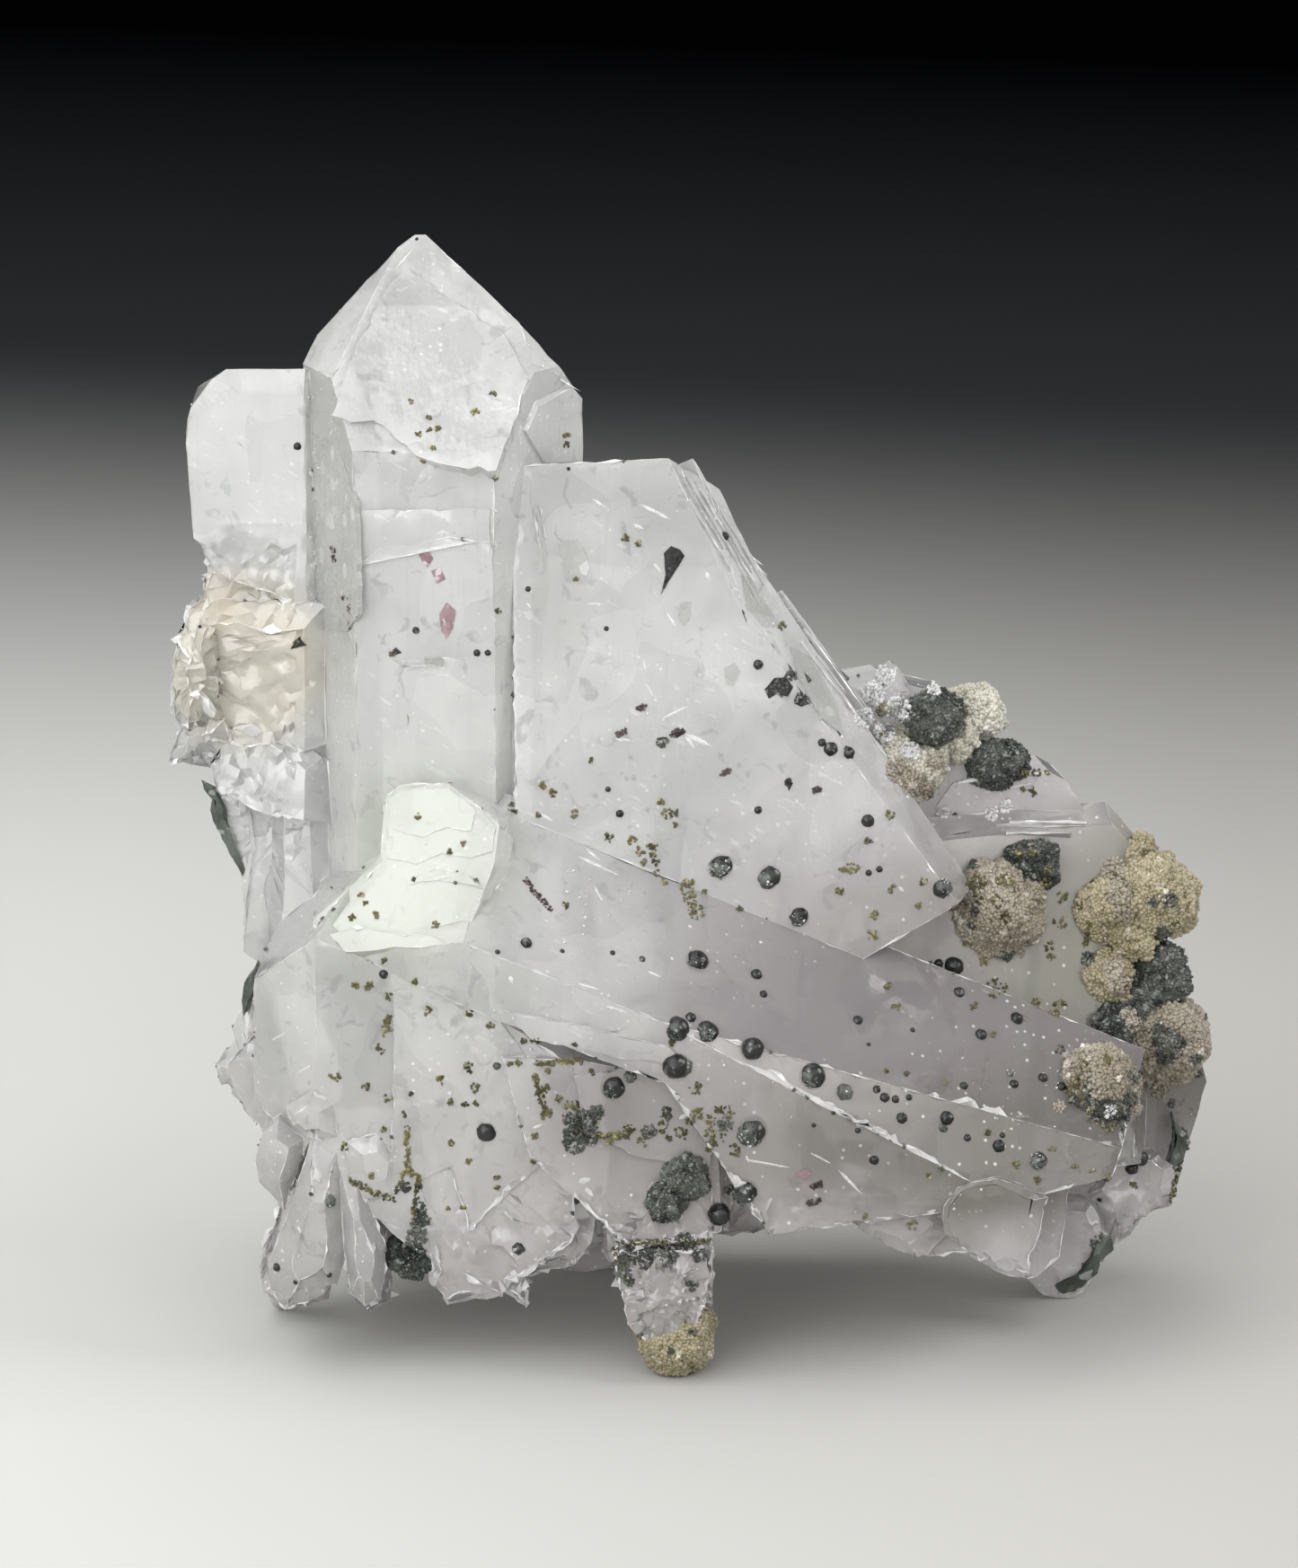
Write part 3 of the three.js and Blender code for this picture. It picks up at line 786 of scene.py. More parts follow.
class ScatterTree:
    """Geometry Nodes that set a grain on every point of a mesh, or all over its faces."""

    def __init__(self, over_faces: bool) -> None:
        """Builds the tree.

        Args:
            over_faces: True to cover the faces, False for one grain on each vertex.
        """
        self.over_faces = over_faces
        name = "grain crust" if over_faces else "grains on points"
        self.tree = bpy.data.node_groups.new(name, "GeometryNodeTree")
        self.tree.is_modifier = True
        face = self.tree.interface
        face.new_socket(name="Geometry", in_out="INPUT", socket_type="NodeSocketGeometry")
        face.new_socket(name="Grain", in_out="INPUT", socket_type="NodeSocketObject")
        face.new_socket(name="Smallest", in_out="INPUT", socket_type="NodeSocketFloat")
        face.new_socket(name="Largest", in_out="INPUT", socket_type="NodeSocketFloat")
        face.new_socket(name="Spacing", in_out="INPUT", socket_type="NodeSocketFloat")
        face.new_socket(name="Seed", in_out="INPUT", socket_type="NodeSocketInt")
        face.new_socket(name="Finish", in_out="INPUT", socket_type="NodeSocketMaterial")
        face.new_socket(name="Geometry", in_out="OUTPUT", socket_type="NodeSocketGeometry")
        self.fill()

    def fill(self) -> None:
        """Adds the tree's nodes."""
        graph = Graph(self.tree)
        given = graph.node("NodeGroupInput").outputs
        if self.over_faces:
            points = graph.node("GeometryNodeDistributePointsOnFaces", {"distribute_method": "POISSON"})
            graph.feed(points.inputs["Mesh"], given["Geometry"])
            graph.feed(points.inputs["Distance Min"], given["Spacing"])
            graph.feed(points.inputs["Density Max"], 5.0e8)
            cover = graph.node("GeometryNodeInputNamedAttribute", {"data_type": "FLOAT"}, Name="cover")
            graph.feed(points.inputs["Density Factor"], cover.outputs["Attribute"])
            graph.feed(points.inputs["Seed"], given["Seed"])
            spots = points.outputs["Points"]
        else:
            spots = graph.node("GeometryNodeMeshToPoints", Mesh=given["Geometry"]).outputs["Points"]
        wide = graph.node("GeometryNodeInputNamedAttribute", {"data_type": "FLOAT"}, Name="grow")
        pick = graph.node("FunctionNodeRandomValue", {"data_type": "FLOAT"})
        graph.feed(pick.inputs[2], given["Smallest"])
        graph.feed(pick.inputs[3], given["Largest"])
        graph.feed(pick.inputs["Seed"], given["Seed"])
        scale = graph.math("MULTIPLY", pick.outputs[1], wide.outputs["Attribute"])
        spin = graph.node("FunctionNodeRandomValue", {"data_type": "FLOAT_VECTOR"})
        spin.inputs[1].default_value = (2 * math.pi,) * 3
        graph.feed(spin.inputs["Seed"], given["Seed"])
        grain = graph.node("GeometryNodeObjectInfo", Object=given["Grain"])
        grains = graph.node("GeometryNodeInstanceOnPoints", Points=spots)
        graph.feed(grains.inputs["Instance"], grain.outputs["Geometry"])
        graph.feed(grains.inputs["Rotation"], spin.outputs[0])
        graph.feed(grains.inputs["Scale"], scale)
        real = graph.node("GeometryNodeRealizeInstances", Geometry=grains.outputs["Instances"])
        shape = real.outputs["Geometry"]
        if self.over_faces:
            both = graph.node("GeometryNodeJoinGeometry")
            graph.feed(both.inputs["Geometry"], given["Geometry"])
            graph.feed(both.inputs["Geometry"], shape)
            shape = both.outputs["Geometry"]
        dressed = graph.node("GeometryNodeSetMaterial", Geometry=shape, Material=given["Finish"])
        graph.feed(graph.node("NodeGroupOutput").inputs["Geometry"], dressed.outputs["Geometry"])

    def grow(
        self,
        piece: bpy.types.Object,
        grain: bpy.types.Object,
        finish: bpy.types.Material,
        smallest: float,
        largest: float,
        spacing: float = 0.0,
        seed: int = 1,
    ) -> bpy.types.Object:
        """Turns a core or a cloud of points into a plain mesh of grains.

        Args:
            piece: the mesh to cover, with its float attributes grow and cover.
            grain: the grain, one unit in radius.
            finish: the material.
            smallest: the smallest grain's radius, in mm.
            largest: the largest grain's radius, in mm.
            spacing: the least distance between grains, in mm.
            seed: what the random values start from.

        Returns:
            The same object.
        """
        step = piece.modifiers.new("grains", "NODES")
        step.node_group = self.tree
        values = {
            "Grain": grain, "Smallest": smallest * MM, "Largest": largest * MM,
            "Spacing": spacing * MM, "Seed": seed, "Finish": finish,
        }
        for item in self.tree.interface.items_tree:
            if item.in_out == "INPUT" and item.name in values:
                step[item.identifier] = values[item.name]
        return baked(piece)


def ragged(outline: tuple, step: float, wobble: float) -> list[tuple[float, float]]:
    """Breaks an outline's straight runs into short uneven ones.

    Args:
        outline: its corners, in pixels.
        step: the length of a short run, in pixels.
        wobble: how far a new point may stray, in pixels.

    Returns:
        The uneven outline.
    """
    points = []
    for (u, v), (to_u, to_v) in zip(outline, outline[1:] + outline[:1]):
        count = max(1, round(math.hypot(to_u - u, to_v - v) / step))
        for k in range(count):
            here = Vector((u + (to_u - u) * k / count, v + (to_v - v) * k / count, 0))
            stray = noise.noise_vector(here * 0.13) * wobble if k else Vector()
            points.append((here.x + stray.x, here.y + stray.y))
    return points


def slab(name: str, *rings: list[Vector]) -> bpy.types.Object:
    """A closed solid through outlines that lie one behind the other.

    Args:
        name: its name.
        rings: the outlines from front to back, all with as many points.

    Returns:
        The solid.
    """
    form = bmesh.new()
    loops = [[form.verts.new(point) for point in ring] for ring in rings]
    form.faces.new(loops[0])
    form.faces.new(loops[-1][::-1])
    for near, far in zip(loops, loops[1:]):
        for k in range(len(near)):
            after = (k + 1) % len(near)
            form.faces.new((near[k], far[k], far[after], near[after]))
    bmesh.ops.triangulate(form, faces=form.faces)
    bmesh.ops.recalc_face_normals(form, faces=form.faces)
    return link_bmesh(name, form)


@dataclass(frozen=True)
class Shard:
    """A broken chip or short point that stands out from the quartz's lower and outer edges."""

    outline: tuple[tuple[float, float], ...]
    front: float
    deep: float
    peak: tuple[float, float]
    rise: float
    flat: float = 0.45
    step: float = 9.0
    wobble: float = 3.5

    def build(self, view: PhotoView) -> bpy.types.Object:
        """Makes the solid.

        Args:
            view: the photograph's camera.

        Returns:
            The solid, between the plane y = front and the depth behind it.
        """
        plane = Vector((0, self.front * MM, 0))
        facing = Vector((0, -1, 0))
        near = [view.onto(u, v, plane, facing) for u, v in ragged(self.outline, self.step, self.wobble)]
        middle = sum(near, Vector()) / len(near)
        far = [middle + (point - middle) * 0.8 + Vector((0, self.deep * MM, 0)) for point in near]
        top = view.onto(*self.peak, plane - Vector((0, self.rise * MM, 0)), facing)
        face = [top + (point - middle) * self.flat for point in near]
        return slab("shard", face, near, far)


@dataclass(frozen=True)
class Plate:
    """A thin growth plate on a crystal face, with the outline that the photograph shows."""

    outline: tuple[tuple[float, float], ...]
    spot: tuple[float, float]
    thick: float
    facing: tuple[float, float, float] | None = None
    root: float = 1.0
    step: float = 14.0
    wobble: float = 4.0

    def build(self, view: PhotoView, tree: BVHTree) -> bpy.types.Object:
        """Makes the solid.

        Args:
            view: the photograph's camera.
            tree: the quartz's surface.

        Returns:
            The solid, which reaches into the quartz.
        """
        place, facing, _, _ = tree.ray_cast(view.place(), view.ray(*self.spot))
        if self.facing:
            facing = Vector(self.facing).normalized()
        points = ragged(self.outline, self.step, self.wobble)
        near = [view.onto(u, v, place + facing * self.thick * MM, facing) for u, v in points]
        far = [point - facing * (self.thick + self.root) * MM for point in near]
        return slab("plate", near, far)


@dataclass(frozen=True)
class Ridges:
    """Fine growth ridges that run side by side along a crystal face."""

    start: tuple[float, float]
    end: tuple[float, float]
    left_face_shade: tuple[float, float]
    count: int
    spot: tuple[float, float]
    thick: float = 0.1
    wide: float = 2.2
    seed: int = 3

    def plates(self) -> list[Plate]:
        """The ridges as long thin plates, each with a length of its own."""
        chance = random.Random(self.seed)
        run = Vector(self.end) - Vector(self.start)
        found = []
        for k in range(self.count):
            low = Vector(self.start) + Vector(self.left_face_shade) * (k + chance.uniform(-0.3, 0.3))
            first = low + run * chance.uniform(0.0, 0.45)
            last = low + run * chance.uniform(0.6, 1.0)
            half = Vector(self.left_face_shade).normalized() * self.wide / 2
            outline = (first - half, last, first + half)
            corners = tuple((point.x, point.y) for point in outline)
            found.append(Plate(corners, self.spot, self.thick * chance.uniform(0.6, 1.2), step=60.0))
        return found


SHARDS = (
    Shard(
        ((348, 1266), (322, 1340), (298, 1410), (299, 1436), (316, 1461), (346, 1448), (376, 1432), (384, 1400),
         (386, 1340), (378, 1270)),
        front=-14.4, deep=7.0, peak=(346, 1390), rise=1.4, step=60.0, wobble=1.0,
    ),
    Shard(
        ((378, 1300), (383, 1400), (388, 1440), (405, 1457), (424, 1450), (430, 1420), (431, 1388), (412, 1340),
         (396, 1304)),
        front=-14.7, deep=7.0, peak=(404, 1396), rise=1.2, step=60.0, wobble=1.0,
    ),
    Shard(
        ((284, 1292), (292, 1262), (310, 1246), (340, 1268), (334, 1300), (316, 1349), (300, 1330), (288, 1316)),
        front=-13.6, deep=9.0, peak=(308, 1292), rise=1.0, step=30.0, wobble=1.0,
    ),
    Shard(
        ((318, 1232), (352, 1210), (376, 1228), (380, 1268), (344, 1270), (326, 1254)),
        front=-14.6, deep=3.0, peak=(342, 1246), rise=0.9, step=30.0, wobble=1.0,
    ),
    Shard(
        ((384, 1270), (420, 1262), (446, 1290), (440, 1330), (408, 1340), (388, 1310)),
        front=-15.0, deep=3.0, peak=(418, 1300), rise=0.4, step=30.0, wobble=1.0,
    ),
    Shard(
        ((238, 878), (243, 905), (254, 940), (268, 972), (272, 1010), (270, 1060), (300, 1080), (322, 1000),
         (322, 880)),
        front=-1.1, deep=4.0, peak=(288, 940), rise=0.5, wobble=2.0,
    ),
    Shard(
        ((474, 1380), (478, 1425), (496, 1451), (520, 1443), (541, 1452), (562, 1440), (583, 1452),
         (588, 1425), (592, 1392), (600, 1360), (540, 1340), (490, 1350)),
        front=-15.0, deep=8.0, peak=(538, 1400), rise=0.25, flat=0.86, step=11.0, wobble=5.0,
    ),
    Shard(
        ((585, 1340), (590, 1400), (600, 1412), (622, 1408), (640, 1414), (655, 1400), (664, 1375),
         (668, 1340), (640, 1320), (600, 1320)),
        front=-14.8, deep=6.0, peak=(630, 1366), rise=0.3, flat=0.8, step=10.0,
    ),
    Shard(
        ((934, 1352), (950, 1370), (978, 1384), (1005, 1395), (1025, 1406), (1040, 1390), (1060, 1372),
         (1080, 1350), (1085, 1315), (1040, 1300), (990, 1300), (950, 1325)),
        front=-15.9, deep=5.0, peak=(1006, 1344), rise=0.6, flat=0.7, step=9.0,
    ),
    Shard(
        ((1050, 1344), (1065, 1323), (1083, 1316), (1113, 1312), (1140, 1322), (1167, 1333), (1160, 1370),
         (1148, 1398), (1146, 1420), (1130, 1412), (1115, 1420), (1098, 1407), (1075, 1395), (1052, 1375)),
        front=-17.4, deep=6.0, peak=(1106, 1362), rise=0.3, flat=0.8, step=14.0, wobble=5.0,
    ),
    Shard(
        ((1146, 1360), (1150, 1400), (1160, 1425), (1175, 1446), (1200, 1440), (1222, 1410), (1238, 1385),
         (1226, 1362), (1215, 1340), (1170, 1335)),
        front=-6.4, deep=3.5, peak=(1190, 1384), rise=0.7, flat=0.7, step=7.0, wobble=5.0,
    ),
    Shard(
        ((1210, 1330), (1228, 1360), (1240, 1392), (1262, 1370), (1290, 1345), (1303, 1330), (1310, 1300),
         (1290, 1285), (1240, 1290)),
        front=-3.6, deep=3.5, peak=(1260, 1324), rise=0.8, flat=0.7, step=7.0, wobble=5.0,
    ),
    Shard(
        ((680, 1392), (690, 1440), (700, 1478), (716, 1496), (742, 1506), (764, 1498), (780, 1470), (792, 1440),
         (788, 1392)),
        front=-17.2, deep=4.0, peak=(738, 1440), rise=0.35, step=8.0,
    ),
    Shard(
        ((962, 795), (975, 764), (997, 743), (1006, 758), (1014, 775), (1010, 805), (985, 820)),
        front=1.4, deep=4.0, peak=(992, 776), rise=1.3, step=7.0,
    ),
    Shard(
        ((240, 1186), (252, 1176), (262, 1160), (258, 1146), (266, 1130), (276, 1118), (300, 1130), (300, 1180),
         (296, 1240), (285, 1255), (262, 1222), (246, 1208)),
        front=-4.0, deep=4.0, peak=(276, 1190), rise=0.8, step=6.0, wobble=2.0,
    ),
    Shard(
        ((186, 836), (196, 818), (215, 806), (250, 800), (262, 826), (232, 842), (205, 850), (190, 852)),
        front=-1.2, deep=2.5, peak=(222, 826), rise=0.8, step=6.0,
    ),
    Shard(
        ((192, 742), (197, 708), (222, 694), (240, 700), (246, 760), (236, 800), (204, 812), (194, 780)),
        front=-1.4, deep=3.5, peak=(218, 750), rise=1.0, step=7.0,
    ),
)
TIP_SIDE = (-0.29, -0.80, 0.526)
FLAT_BENDS = (0.5, 0.4, 0.3, 0.2, 0.1, 0.0)
PLATES = (
    Plate(
        ((428, 891), (444, 874), (499, 872), (537, 902), (556, 918), (550, 962), (515, 1050),
         (382, 1061), (362, 1041), (423, 959)),
        spot=(400, 1052), thick=0.05, facing=TIP_SIDE, root=3.0, step=60.0,
    ),
    Plate(
        ((369, 462), (386, 412), (430, 322), (450, 300), (500, 330), (560, 372), (588, 420), (552, 524),
         (512, 519), (472, 511), (443, 488), (416, 468), (390, 470)),
        spot=(470, 420), thick=0.3, step=11.0, wobble=5.0,
    ),
    Plate(
        ((398, 567), (546, 567), (545, 604), (500, 598), (460, 606), (423, 611), (398, 630)),
        spot=(470, 590), thick=0.14,
    ),
    Plate(
        ((438, 1104), (520, 1082), (566, 1150), (600, 1200), (612, 1290), (520, 1372), (500, 1300), (437, 1330)),
        spot=(500, 1220), thick=0.16,
    ),
    Plate(
        ((640, 1200), (700, 1190), (800, 1230), (790, 1300), (720, 1290), (650, 1262)),
        spot=(700, 1250), thick=0.3,
    ),
    Plate(
        ((560, 1128), (640, 1142), (744, 1166), (760, 1186), (700, 1180), (640, 1168), (592, 1158)),
        spot=(650, 1140), thick=0.25,
    ),
)
TIP_STEPS = (
    Plate(
        ((430, 890), (446, 876), (499, 874), (536, 903), (552, 920), (548, 948), (524, 955), (492, 950),
         (462, 962), (430, 956)),
        spot=(480, 1000), thick=0.07, step=18.0,
    ),
    Plate(
        ((432, 890), (446, 877), (498, 876), (530, 902), (524, 926), (498, 921), (470, 932), (436, 922)),
        spot=(480, 900), thick=0.06, step=18.0,
    ),
    Plate(
        ((455, 985), (466, 973), (492, 967), (520, 973), (538, 988), (515, 984), (490, 980), (470, 981)),
        spot=(480, 1000), thick=0.07, step=60.0,
    ),
    Plate(
        ((364, 1041), (392, 1032), (420, 1036), (470, 1040), (512, 1050), (384, 1060)),
        spot=(480, 1010), thick=0.2, facing=(-0.27, -0.70, 0.66), step=18.0,
    ),
)
RIDGES = (
    Ridges((747, 516), (838, 676), (4.2, -2.0), 6, spot=(782, 560), thick=0.16),
    Ridges((838, 640), (1000, 860), (4.6, -2.4), 4, spot=(880, 720), thick=0.14, seed=5),
    Ridges((1050, 912), (1250, 915), (0.5, 7.0), 3, spot=(1120, 925), thick=0.14, seed=6),
    Ridges((430, 735), (535, 733), (0.0, 6.0), 4, spot=(480, 740), thick=0.06, seed=7),
    Ridges((586, 540), (604, 640), (4.0, 0.3), 4, spot=(600, 600), thick=0.08, seed=8),
)


@dataclass
class Quartz:
    """The quartz itself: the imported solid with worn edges, growth steps and broken surfaces."""

    fine: float = 0.55
    coarse: float = 1.75
    crease: float = 9.0
    hills: float = 0.02
    scoops: float = 0.42
    nicks: float = 0.16
    sharp: float = 24.0
    # the width of the worn edges, which are painted as rim highlights, in mm
    worn: float = 0.12
    most_change: float = 0.0004
    glassy: float = 0.6
    milky_side: float = -24.6
    milky_low: float = 53.0
    seed: int = 11
    piece: bpy.types.Object | None = None

    def build(self, view: PhotoView) -> bpy.types.Object:
        """Makes the detailed quartz.

        Args:
            view: the photograph's camera, which places the growth steps.

        Returns:
            The quartz object, dressed.
        """
        self.piece = link_bmesh("quartz_crystals", self.merged())
        self.overgrow(view)
        self.soften_edges()
        self.refine()
        self.relief()
        self.piece.data.materials.clear()
        self.piece.data.materials.append(ClearQuartz().build())
        self.piece.data.materials.append(
            ClearQuartz("glassy_quartz", clear=0.86, haze=0.07, relief=0.5, hills=900.0, absorption=9.0).build()
        )
        # a milky material for the milky plate, and for the worn edges as part of their painted rim highlight
        self.piece.data.materials.append(ClearQuartz(
            "milky_quartz", clear=0.1, absorption=3.0, milk=colour(255, 255, 254), grey=colour(246, 246, 245),
            shade=colour(226, 227, 226),
        ).build())
        return self.piece

    def overgrow(self, view: PhotoView) -> None:
        """Joins the chips, growth plates and ridges to the crystals.

        Args:
            view: the photograph's camera.
        """
        for shard in SHARDS:
            join_solid(self.piece, shard.build(view), "UNION")
        layers = (PLATES, TIP_STEPS[:1], TIP_STEPS[1:])
        for layer in layers:
            tree = self.surface(self.piece)
            for plate in layer:
                join_solid(self.piece, plate.build(view, tree), "UNION")
        tree = self.surface(self.piece)
        for ridges in RIDGES:
            for plate in ridges.plates():
                join_solid(self.piece, plate.build(view, tree), "UNION")

    def soften_edges(self) -> None:
        """Gives the sharp edges a narrow worn face, later painted white as a rim highlight, once the flat faces are
        merged without a fault.
        """
        area = sum(face.area for face in self.piece.data.polygons)
        for bend in FLAT_BENDS:
            form = self.softened(bend)
            change = abs(sum(face.calc_area() for face in form.faces) / area - 1)
            log.info("worn edges, faces merged up to %.2f degrees: area changes by %.5f", bend, change)
            if change < self.most_change or bend == FLAT_BENDS[-1]:
                break
            form.free()
        form.to_mesh(self.piece.data)
        form.free()

    def softened(self, bend: float) -> bmesh.types.BMesh:
        """A copy of the quartz whose sharp edges have a narrow face, marked as a worn edge that is later painted as a
        rim highlight.

        Args:
            bend: the most that merged faces may lean from each other, in degrees.

        Returns:
            The copy, in triangles.
        """
        form = bmesh.new()
        form.from_mesh(self.piece.data)
        worn = form.faces.layers.float.new("worn")
        bmesh.ops.remove_doubles(form, verts=form.verts, dist=0.01 * MM)
        if bend:
            bmesh.ops.dissolve_limit(form, angle_limit=math.radians(bend), verts=form.verts, edges=form.edges)
        sharp = [edge for edge in form.edges if edge.calc_face_angle(0.0) > math.radians(self.sharp)]
        cut = bmesh.ops.bevel(
            form, geom=sharp, offset=self.worn * MM, offset_type="OFFSET", segments=1, affect="EDGES",
            clamp_overlap=True,
        )
        for face in cut["faces"]:
            face[worn] = 1.0
        bmesh.ops.triangulate(form, faces=form.faces)
        return form

    def merged(self) -> bmesh.types.BMesh:
        """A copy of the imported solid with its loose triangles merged."""
        form = bmesh.new()
        form.from_mesh(frame["nodes"][QUARTZ_NODE].data)
        bmesh.ops.remove_doubles(form, verts=form.verts, dist=0.002 * MM)
        bmesh.ops.dissolve_limit(
            form, angle_limit=math.radians(0.3), verts=form.verts, edges=form.edges,
        )
        return form

    def refine(self) -> None:
        """Splits every long edge, so that the surface can take relief."""
        form = bmesh.new()
        form.from_mesh(self.piece.data)
        bmesh.ops.triangulate(form, faces=form.faces)
        front = CAD_BOX[0].y
        deep = CAD_BOX[1].y - front
        for _ in range(9):
            long = []
            for edge in form.edges:
                middle = (edge.verts[0].co + edge.verts[1].co) / 2
                share = min(1.0, max(0.0, (middle.y - front) / deep * 1.6 - 0.4))
                limit = (self.fine + (self.coarse - self.fine) * share) * MM
                limit *= 0.6 if self.stack(middle / MM) or self.nub(middle / MM) else 1.0
                if edge.calc_length() > limit * 1.4:
                    long.append(edge)
            if not long:
                break
            bmesh.ops.subdivide_edges(form, edges=long, cuts=1)
            bmesh.ops.triangulate(form, faces=form.faces)
        self.piece.data = self.settled(form)
        log.info("refined to %d faces", len(self.piece.data.polygons))

    @staticmethod
    def settled(form: bmesh.types.BMesh) -> bpy.types.Mesh:
        """A form as a mesh whose vertices and faces stand in the same order in each run.

        Args:
            form: the bmesh, which is freed.

        Returns:
            The mesh, with its attribute worn, which marks the worn edges that are painted as rim highlights.
        """
        worn = form.faces.layers.float["worn"]
        verts = sorted(form.verts, key=lambda vert: vert.co[:])
        order = {vert: k for k, vert in enumerate(verts)}
        faces = []
        for face in form.faces:
            corners = [order[vert] for vert in face.verts]
            first = corners.index(min(corners))
            faces.append((corners[first:] + corners[:first], face[worn]))
        faces.sort()
        mesh = bpy.data.meshes.new("quartz_crystals")
        mesh.from_pydata([vert.co.copy() for vert in verts], [], [corners for corners, _ in faces])
        layer = mesh.attributes.new("worn", "FLOAT", "FACE")
        layer.data.foreach_set("value", [value for _, value in faces])
        form.free()
        return mesh

    def broken(self, place: Vector, facing: Vector) -> float:
        """How broken the surface is at a place, from 0 on a crystal face to 1 on a fracture.

        Args:
            place: a point, in mm.
            facing: the surface's normal there.

        Returns:
            The share.
        """
        low = min(1.0, max(0.0, (15 - place.z) / 5)) * (0.25 if place.x > 8 or self.point(place) else 1.0)
        under = 1.0 if facing.z < -0.5 and place.z < 22 else 0.0
        return max(low, 1.0 if self.stack(place) else 0.0, under)

    @staticmethod
    def stack(place: Vector) -> bool:
        """Whether a place, in mm, is in the broken stack at the left."""
        return place.x < -26.5 and 32 < place.z < 53

    @staticmethod
    def nub(place: Vector) -> bool:
        """Whether a place, in mm, is on the nub that hangs in the middle."""
        return -6 < place.x < 2.5 and place.y < -12 and place.z < 11

    @staticmethod
    def point(place: Vector) -> bool:
        """Whether a place, in mm, is on the clear points that hang at the lower left."""
        return place.x < -18.5 and place.y < -10 and place.z < 16

    def fracture(self, place: Vector) -> float:
        """The height of a broken surface: small facets, each with its own tilt.

        Args:
            place: a point, in mm.

        Returns:
            The height, in mm, mostly inwards.
        """
        height = -0.45 * self.scoops
        fine = self.stack(place) or self.nub(place)
        for scale, share in ((0.6, 0.85), (1.3, 0.35)) if fine else ((0.42, 1.0), (0.95, 0.4)):
            spot = place * scale + Vector((self.seed, 0, 0))
            near = noise.voronoi(spot)[1][0]
            tilt = noise.cell_vector(near * 9.7) - Vector((0.5, 0.5, 0.5))
            height += share * self.scoops * ((spot - near).dot(tilt) * 2.2 + 0.5 * tilt.x)
        return height

    def relief(self) -> None:
        """Moves the surface by fine hills, scoops on broken places and nicks along the edges."""
        form = bmesh.new()
        form.from_mesh(self.piece.data)
        form.normal_update()
        limit = math.radians(self.crease)
        for edge in form.edges:
            edge.smooth = edge.calc_face_angle(0.0) < limit
        worn = form.faces.layers.float["worn"]
        moves = []
        for vert in form.verts:
            place = vert.co / MM
            edges = [edge for edge in vert.link_edges if not edge.smooth]
            facing = vert.normal.copy()
            broken = self.broken(place, facing)
            move = self.hills * noise.noise(place * 0.45) + 0.4 * self.hills * noise.noise(place * 1.7)
            if broken > 0:
                move += broken * self.fracture(place)
            if edges:
                nick = noise.noise(place * 1.9 + Vector((0, self.seed, 0)))
                move -= self.nicks * max(0.0, nick - 0.05) * 1.6 + 0.02
            moves.append(facing * min(move, 0.05) * MM)
        low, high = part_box(QUARTZ_NODE)
        for vert, move in zip(form.verts, moves):
            vert.co += move
            for axis in range(3):
                vert.co[axis] = min(high[axis], max(low[axis], vert.co[axis]))
        for face in form.faces:
            face.smooth = True
            place = face.calc_center_median() / MM
            milky = place.x < self.milky_side and place.z > self.milky_low
            milky = milky or (place.x > -11.6 and place.z > 57.5 and face.normal.x > 0.5)
            # the worn edges take the milky material as part of their painted rim highlight
            milky = milky or face[worn] > 0.5
            glassy = self.broken(place, face.normal) > self.glassy or self.point(place)
            face.material_index = 1 if glassy else 2 if milky else 0
        form.normal_update()
        for edge in form.edges:
            if edge.smooth and edge.calc_face_angle(0.0) > math.radians(32):
                edge.smooth = False
        form.to_mesh(self.piece.data)
        form.free()

    @staticmethod
    def surface(piece: bpy.types.Object) -> BVHTree:
        """A search tree over a piece's faces."""
        mesh = piece.data
        corners = [vert.co.copy() for vert in mesh.vertices]
        return BVHTree.FromPolygons(corners, [tuple(face.vertices) for face in mesh.polygons])


class Sight:
    """Looks along the photograph's rays at finished surfaces, and spreads points over them."""

    def __init__(self, view: PhotoView, pieces: list[bpy.types.Object]) -> None:
        """Reads the surfaces once.

        Args:
            view: the photograph's camera.
            pieces: the finished pieces.
        """
        self.view = view
        self.trees = [Quartz.surface(piece) for piece in pieces]

    def hit(self, u: float, v: float) -> tuple[Vector, Vector] | None:
        """What the photograph sees at a pixel.

        Args:
            u: the pixel's column.
            v: the pixel's row.

        Returns:
            The nearest point and its normal, or None beside the cluster.
        """
        eye = self.view.place()
        ray = self.view.ray(u, v)
        found = [tree.ray_cast(eye, ray) for tree in self.trees]
        seen = [item for item in found if item[0] is not None]
        if not seen:
            return None
        place, facing, _, _ = min(seen, key=lambda item: item[3])
        return place, facing


